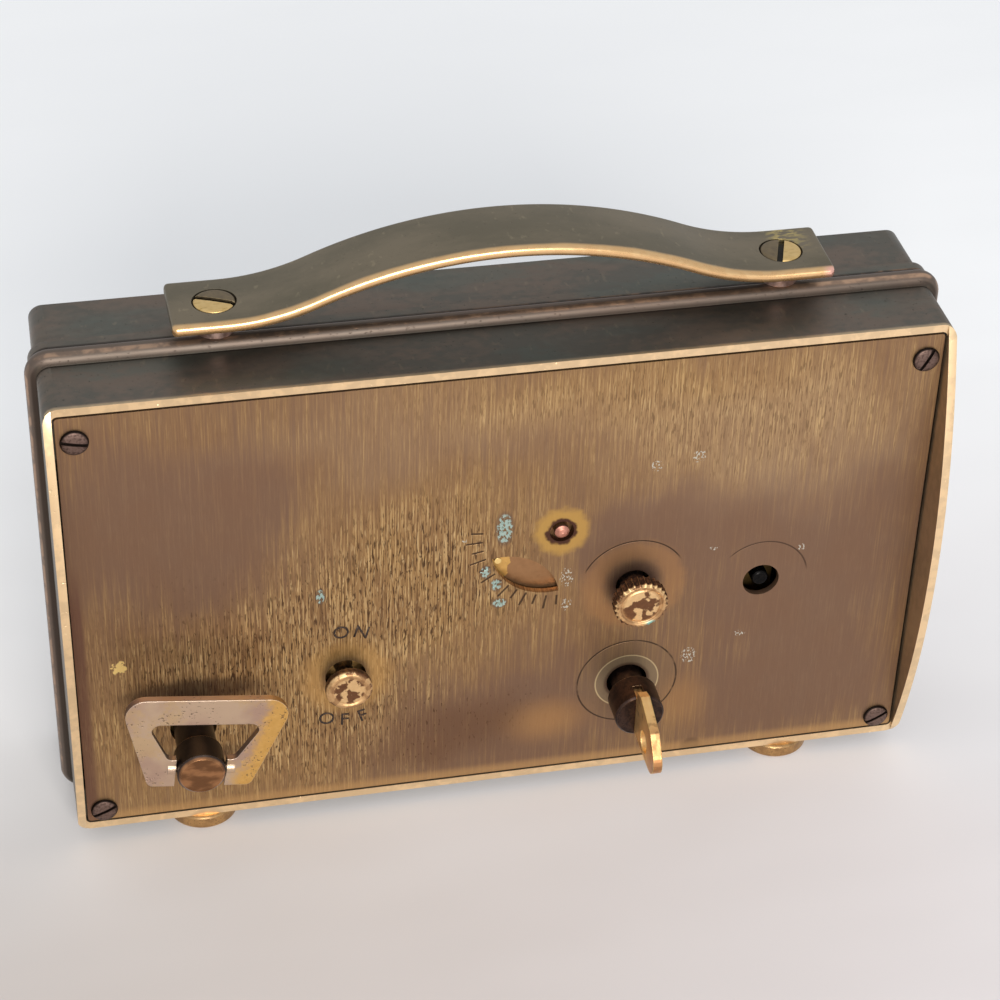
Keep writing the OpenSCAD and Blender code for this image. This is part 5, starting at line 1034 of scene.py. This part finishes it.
def word_on_back(name, text, spot, radius, turn, spacing, material, body, upside=1):
    """A word on an arc round a spot of the back. turn is the angle of the word's middle."""
    points, faces = [], []
    for number, character in enumerate(text):
        shape, sides = letter_points(character, 3.7)
        step = (number - (len(text) - 1) / 2) * spacing / radius
        angle = math.radians(turn) - upside * step
        lean = angle - upside * math.pi / 2
        start = len(points)
        for p in shape:
            right = radius * math.cos(angle) + p.x * math.cos(lean) - p.y * math.sin(lean)
            up = radius * math.sin(angle) + p.x * math.sin(lean) + p.y * math.cos(lean)
            points.append((spot[0] - right, BACK + INK_OUT + p.z, spot[1] + up))
        faces += [tuple(start + i for i in side) for side in sides]
    made = piece(name, points, faces, material, body)
    tidy_normals(made)
    return made


def ink_finish():
    f = Finish("engraved_ink")
    fine = f.noise((1.6, 0, 1.6), 3, 2)
    colour = f.mix(f.ease(fine, 0.45, 0.75), paint(44, 32, 26), paint(92, 66, 44))
    return f.surface(colour, 0.6, 0.3, fine, 0.01)


ink = ink_finish()
word_on_back("word_on", "ON", pull_spot, 9.9, 84, 3.6, ink, "case")
word_on_back("word_off", "OFF", pull_spot, 9.6, -92, 3.2, ink, "case", -1)
print("letters stand out of the plate", INK_OUT + INK_T / 2, "mm")

# %% [markdown]
# ## The front
# The photograph doesn't show the front, so it is a plain guess in the style of such clocks: a
# polished bezel with a domed glass, a cream dial with plain black numbers, three black hands, and
# a grille over the music movement.


# %% Dial finish
def dial_finish():
    f = Finish("cream_dial")
    radius, angle = f.round_about(dial_spot)
    fine = f.noise((0.5, 0, 0.5), 4, 3)
    colour = f.mix(fine, paint(226, 216, 190), paint(240, 232, 210))
    minute = f.math("FLOORED_MODULO", angle + 3, 6) - 3
    hour = f.math("FLOORED_MODULO", angle + 15, 30) - 15
    along = radius * (math.pi / 180)
    marks = f.line(minute * along, 0.25) * f.ease(abs(radius - 28.2), 0.8, 0.7)
    marks = marks + f.line(hour * along, 0.7) * f.ease(abs(radius - 28.0), 1.3, 1.2)
    marks = marks + f.line(hour * along, 0.35) * f.ease(abs(radius - 12.6), 1.1, 1.0)
    marks = marks + f.line(radius - 29.1, 0.2) + f.line(radius - 27.3, 0.15) + f.line(radius - 13.9, 0.2)
    colour = f.mix(f.math("MINIMUM", marks, 1.0), colour, paint(40, 36, 34))
    age = f.ease(radius + (fine - 0.5) * 3, 24, 32)
    colour = f.mix(age * 0.35, colour, paint(196, 170, 120))
    return f.surface(colour, 0.45, 0.0, fine, 0.02)


def black_finish():
    f = Finish("black_paint")
    rub, soft = f.edges(0.08)
    fine = f.noise((1.0, 1.0, 1.0), 3, 2)
    colour = f.mix(fine, paint(24, 23, 24), paint(42, 40, 40))
    colour = f.mix(rub * 0.3, colour, paint(120, 104, 80))
    return f.surface(colour, 0.35, 0.2, fine, 0.01, normal=soft)


def glass_finish():
    f = Finish("clear_glass")
    fine = f.noise((0.2, 0.2, 0.2), 2, 2)
    material = f.surface(paint(250, 253, 252), 0.02 + fine * 0.02, 0.0)
    f.shader().inputs["Transmission Weight"].default_value = 1.0
    f.shader().inputs["IOR"].default_value = 1.45
    return material


finish("dial_plate", dial_finish())
black = black_finish()
for name in ("hour_hand", "minute_hand", "alarm_hand"):
    finish(name, black)
finish("dial_glass", glass_finish())
gold_metal = metal_finish("rubbed_gold", paint(196, 158, 100), paint(216, 178, 116),
    paint(246, 214, 158), 0.3, (0.3, 0.3, 0.3), dirt=paint(140, 104, 70))
finish("dial_bezel", gold_metal)
grille_metal = metal_finish("grille_brass", paint(150, 120, 78), paint(176, 142, 92),
    paint(236, 200, 140), 0.4, (0.3, 0.3, 0.3), dirt=paint(84, 64, 46))
finish("grille", grille_metal)
print("dial middle", [round(v, 1) for v in dial_spot])

# %% [markdown]
# Twelve plain numbers stand upright on a ring. On a real dial they are printed, so here each is a
# thin plate of black paint on the dial, made from a text curve as the words on the back are.

# %% The dial's numbers
DIAL_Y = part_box("dial_plate")[0].y / MM
NUMBER_SIZE = 7.0
NUMBER_RING = 22.6
points, faces = [], []
for hour in range(1, 13):
    angle = math.radians(90 - 30 * hour)
    shape, sides = letter_points(str(hour), NUMBER_SIZE)
    start = len(points)
    for p in shape:
        across = NUMBER_RING * math.cos(angle) + p.x
        up = NUMBER_RING * math.sin(angle) + p.y
        points.append((dial_spot[0] + across, DIAL_Y - INK_OUT - p.z, dial_spot[1] + up))
    faces += [tuple(start + i for i in side) for side in sides]
numbers = piece("dial_numbers", points, faces, black, "case")
tidy_normals(numbers)
print("numbers on the dial:", 12)

# %% [markdown]
# ## The feet and the works
# The feet are turned brass, bright where they rub on furniture. The works inside show only
# through the holes, the window and the glass, but each kind of metal has its finish: brass plates
# and wheels, steel arbors, springs and pinions.

# %% Feet and works
foot_metal = metal_finish("foot_brass", paint(160, 124, 84), paint(190, 150, 100),
    paint(248, 222, 168), 0.32, (0.6, 0.6, 0.6), 0.35, dirt=paint(96, 70, 52))
finish("feet", foot_metal)
works_brass = metal_finish("works_brass", paint(190, 152, 92), paint(210, 172, 108),
    paint(236, 206, 150), 0.34)
works_steel = metal_finish("works_steel", paint(128, 128, 128), paint(150, 150, 148),
    paint(206, 206, 202), 0.3)
works_dark = metal_finish("works_dark", paint(44, 42, 42), paint(58, 54, 52),
    paint(120, 112, 100), 0.4)
slot_of = {s["node"]: s["material_slot"] for s in frame["record"]["subparts"]}
looks = {"movement_brass": works_brass, "worn_brass": works_brass, "plate_brass": works_brass,
    "bright_brass": works_brass, "bright_steel": works_steel, "nickel": works_steel,
    "dark_bronze": works_dark}


def is_bare(made):
    """Whether a node still has no finish from this lesson."""
    held = made.data.materials
    return not held or not held[0].use_nodes or held[0].node_tree.nodes.get("Bump") is None


packed = [name for name, made in nodes.items() if is_bare(made)]
for name in packed:
    if slot_of.get(name) in looks:
        finish(name, looks[slot_of[name]])
# The alarm-set arbor's end is painted near black, as the shade deep in its hole.
hole_shade_steel = metal_finish("hole_shade_steel", paint(16, 15, 15), paint(28, 26, 25), paint(70, 68, 66),
    0.25, round_by=0.3)
finish("alarm_set_arbor", hole_shade_steel)
print("works nodes:", len(packed))

# %% [markdown]
# ## Floor and light
# The clock stands on a plain pale sheet, bluish further off and pinkish close by. One wide window
# light comes from behind the camera, a little lower than the camera, so that each knob throws a
# soft shadow upwards past its own edge. A pale world fills the rest, at a level where a colour
# renders about as it is written. The sheet is lifted towards white for the rays that see it, which
# leaves the light on the clock alone and keeps the clock's shadow.


# %% Floor
def floor_finish():
    f = Finish("pale_sheet")
    soft = f.noise((0.006, 0.009, 0.006), 3, 4)
    far = f.ease(f.y + (soft - 0.5) * 160, 120, -160)
    near = f.mix(f.ease(f.x, -120, 100), paint(209, 204, 205), paint(184, 176, 171))
    colour = f.mix(far, near, paint(236, 237, 238))
    fold = f.noise((0.011, 0.02, 0.011), 2, 14)
    direct = f.node("ShaderNodeLightPath", out="Is Camera Ray")
    rays = direct.socket.node.outputs
    mirrored = Wire(f, rays["Is Glossy Ray"]) + Wire(f, rays["Is Transmission Ray"])
    shown = f.math("MINIMUM", direct + mirrored, 1.0)
    glow = f.mix(shown * 0.14, paint(0, 0, 0), colour)
    material = f.surface(colour, 0.9, 0.0, fold, 1.2)
    f.tree.links.new(glow.socket, f.shader().inputs["Emission Color"])
    f.shader().inputs["Emission Strength"].default_value = 1.0
    return material


SHEET = 4000
SHEET_Z = FLOOR - 0.02
corners = [(-SHEET, -SHEET), (SHEET, -SHEET), (SHEET, SHEET), (-SHEET, SHEET)]
mesh = bpy.data.meshes.new("sheet")
mesh.from_pydata([Vector((x, y, SHEET_Z)) * MM for x, y in corners], [], [(0, 1, 2, 3)])
mesh.materials.append(floor_finish())
floor = bpy.data.objects.new("sheet", mesh)
bpy.context.scene.collection.objects.link(floor)

world = bpy.data.worlds.new("studio")
world.use_nodes = True
bpy.context.scene.world = world
world_tree = world.node_tree
background = world_tree.nodes["Background"]
background.inputs["Color"].default_value = (0.95, 0.97, 1.0, 1.0)
background.inputs["Strength"].default_value = 0.72
print("floor at z", round(FLOOR, 2))


# %% Lights
def window(name, place, size, power, colour):
    """A soft area light that looks at the middle of the clock. Places and sizes are in metres."""
    data = bpy.data.lights.new(name, "AREA")
    data.shape = "RECTANGLE"
    data.size, data.size_y = size
    data.energy = power
    data.color = colour
    made = bpy.data.objects.new(name, data)
    aim = Vector((0, 0, 0.045)) - Vector(place)
    made.matrix_world = Matrix.Translation(place) @ aim.to_track_quat("-Z", "Y").to_matrix().to_4x4()
    bpy.context.scene.collection.objects.link(made)


window("key", place=(0.06, 1.05, 0.54), size=(0.5, 0.32), power=12.0, colour=(1.0, 0.97, 0.93))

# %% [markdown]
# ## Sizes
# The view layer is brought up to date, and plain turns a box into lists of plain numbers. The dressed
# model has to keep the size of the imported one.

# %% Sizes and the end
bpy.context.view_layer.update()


def plain(box):
    return [[float(v) for v in corner] for corner in box]
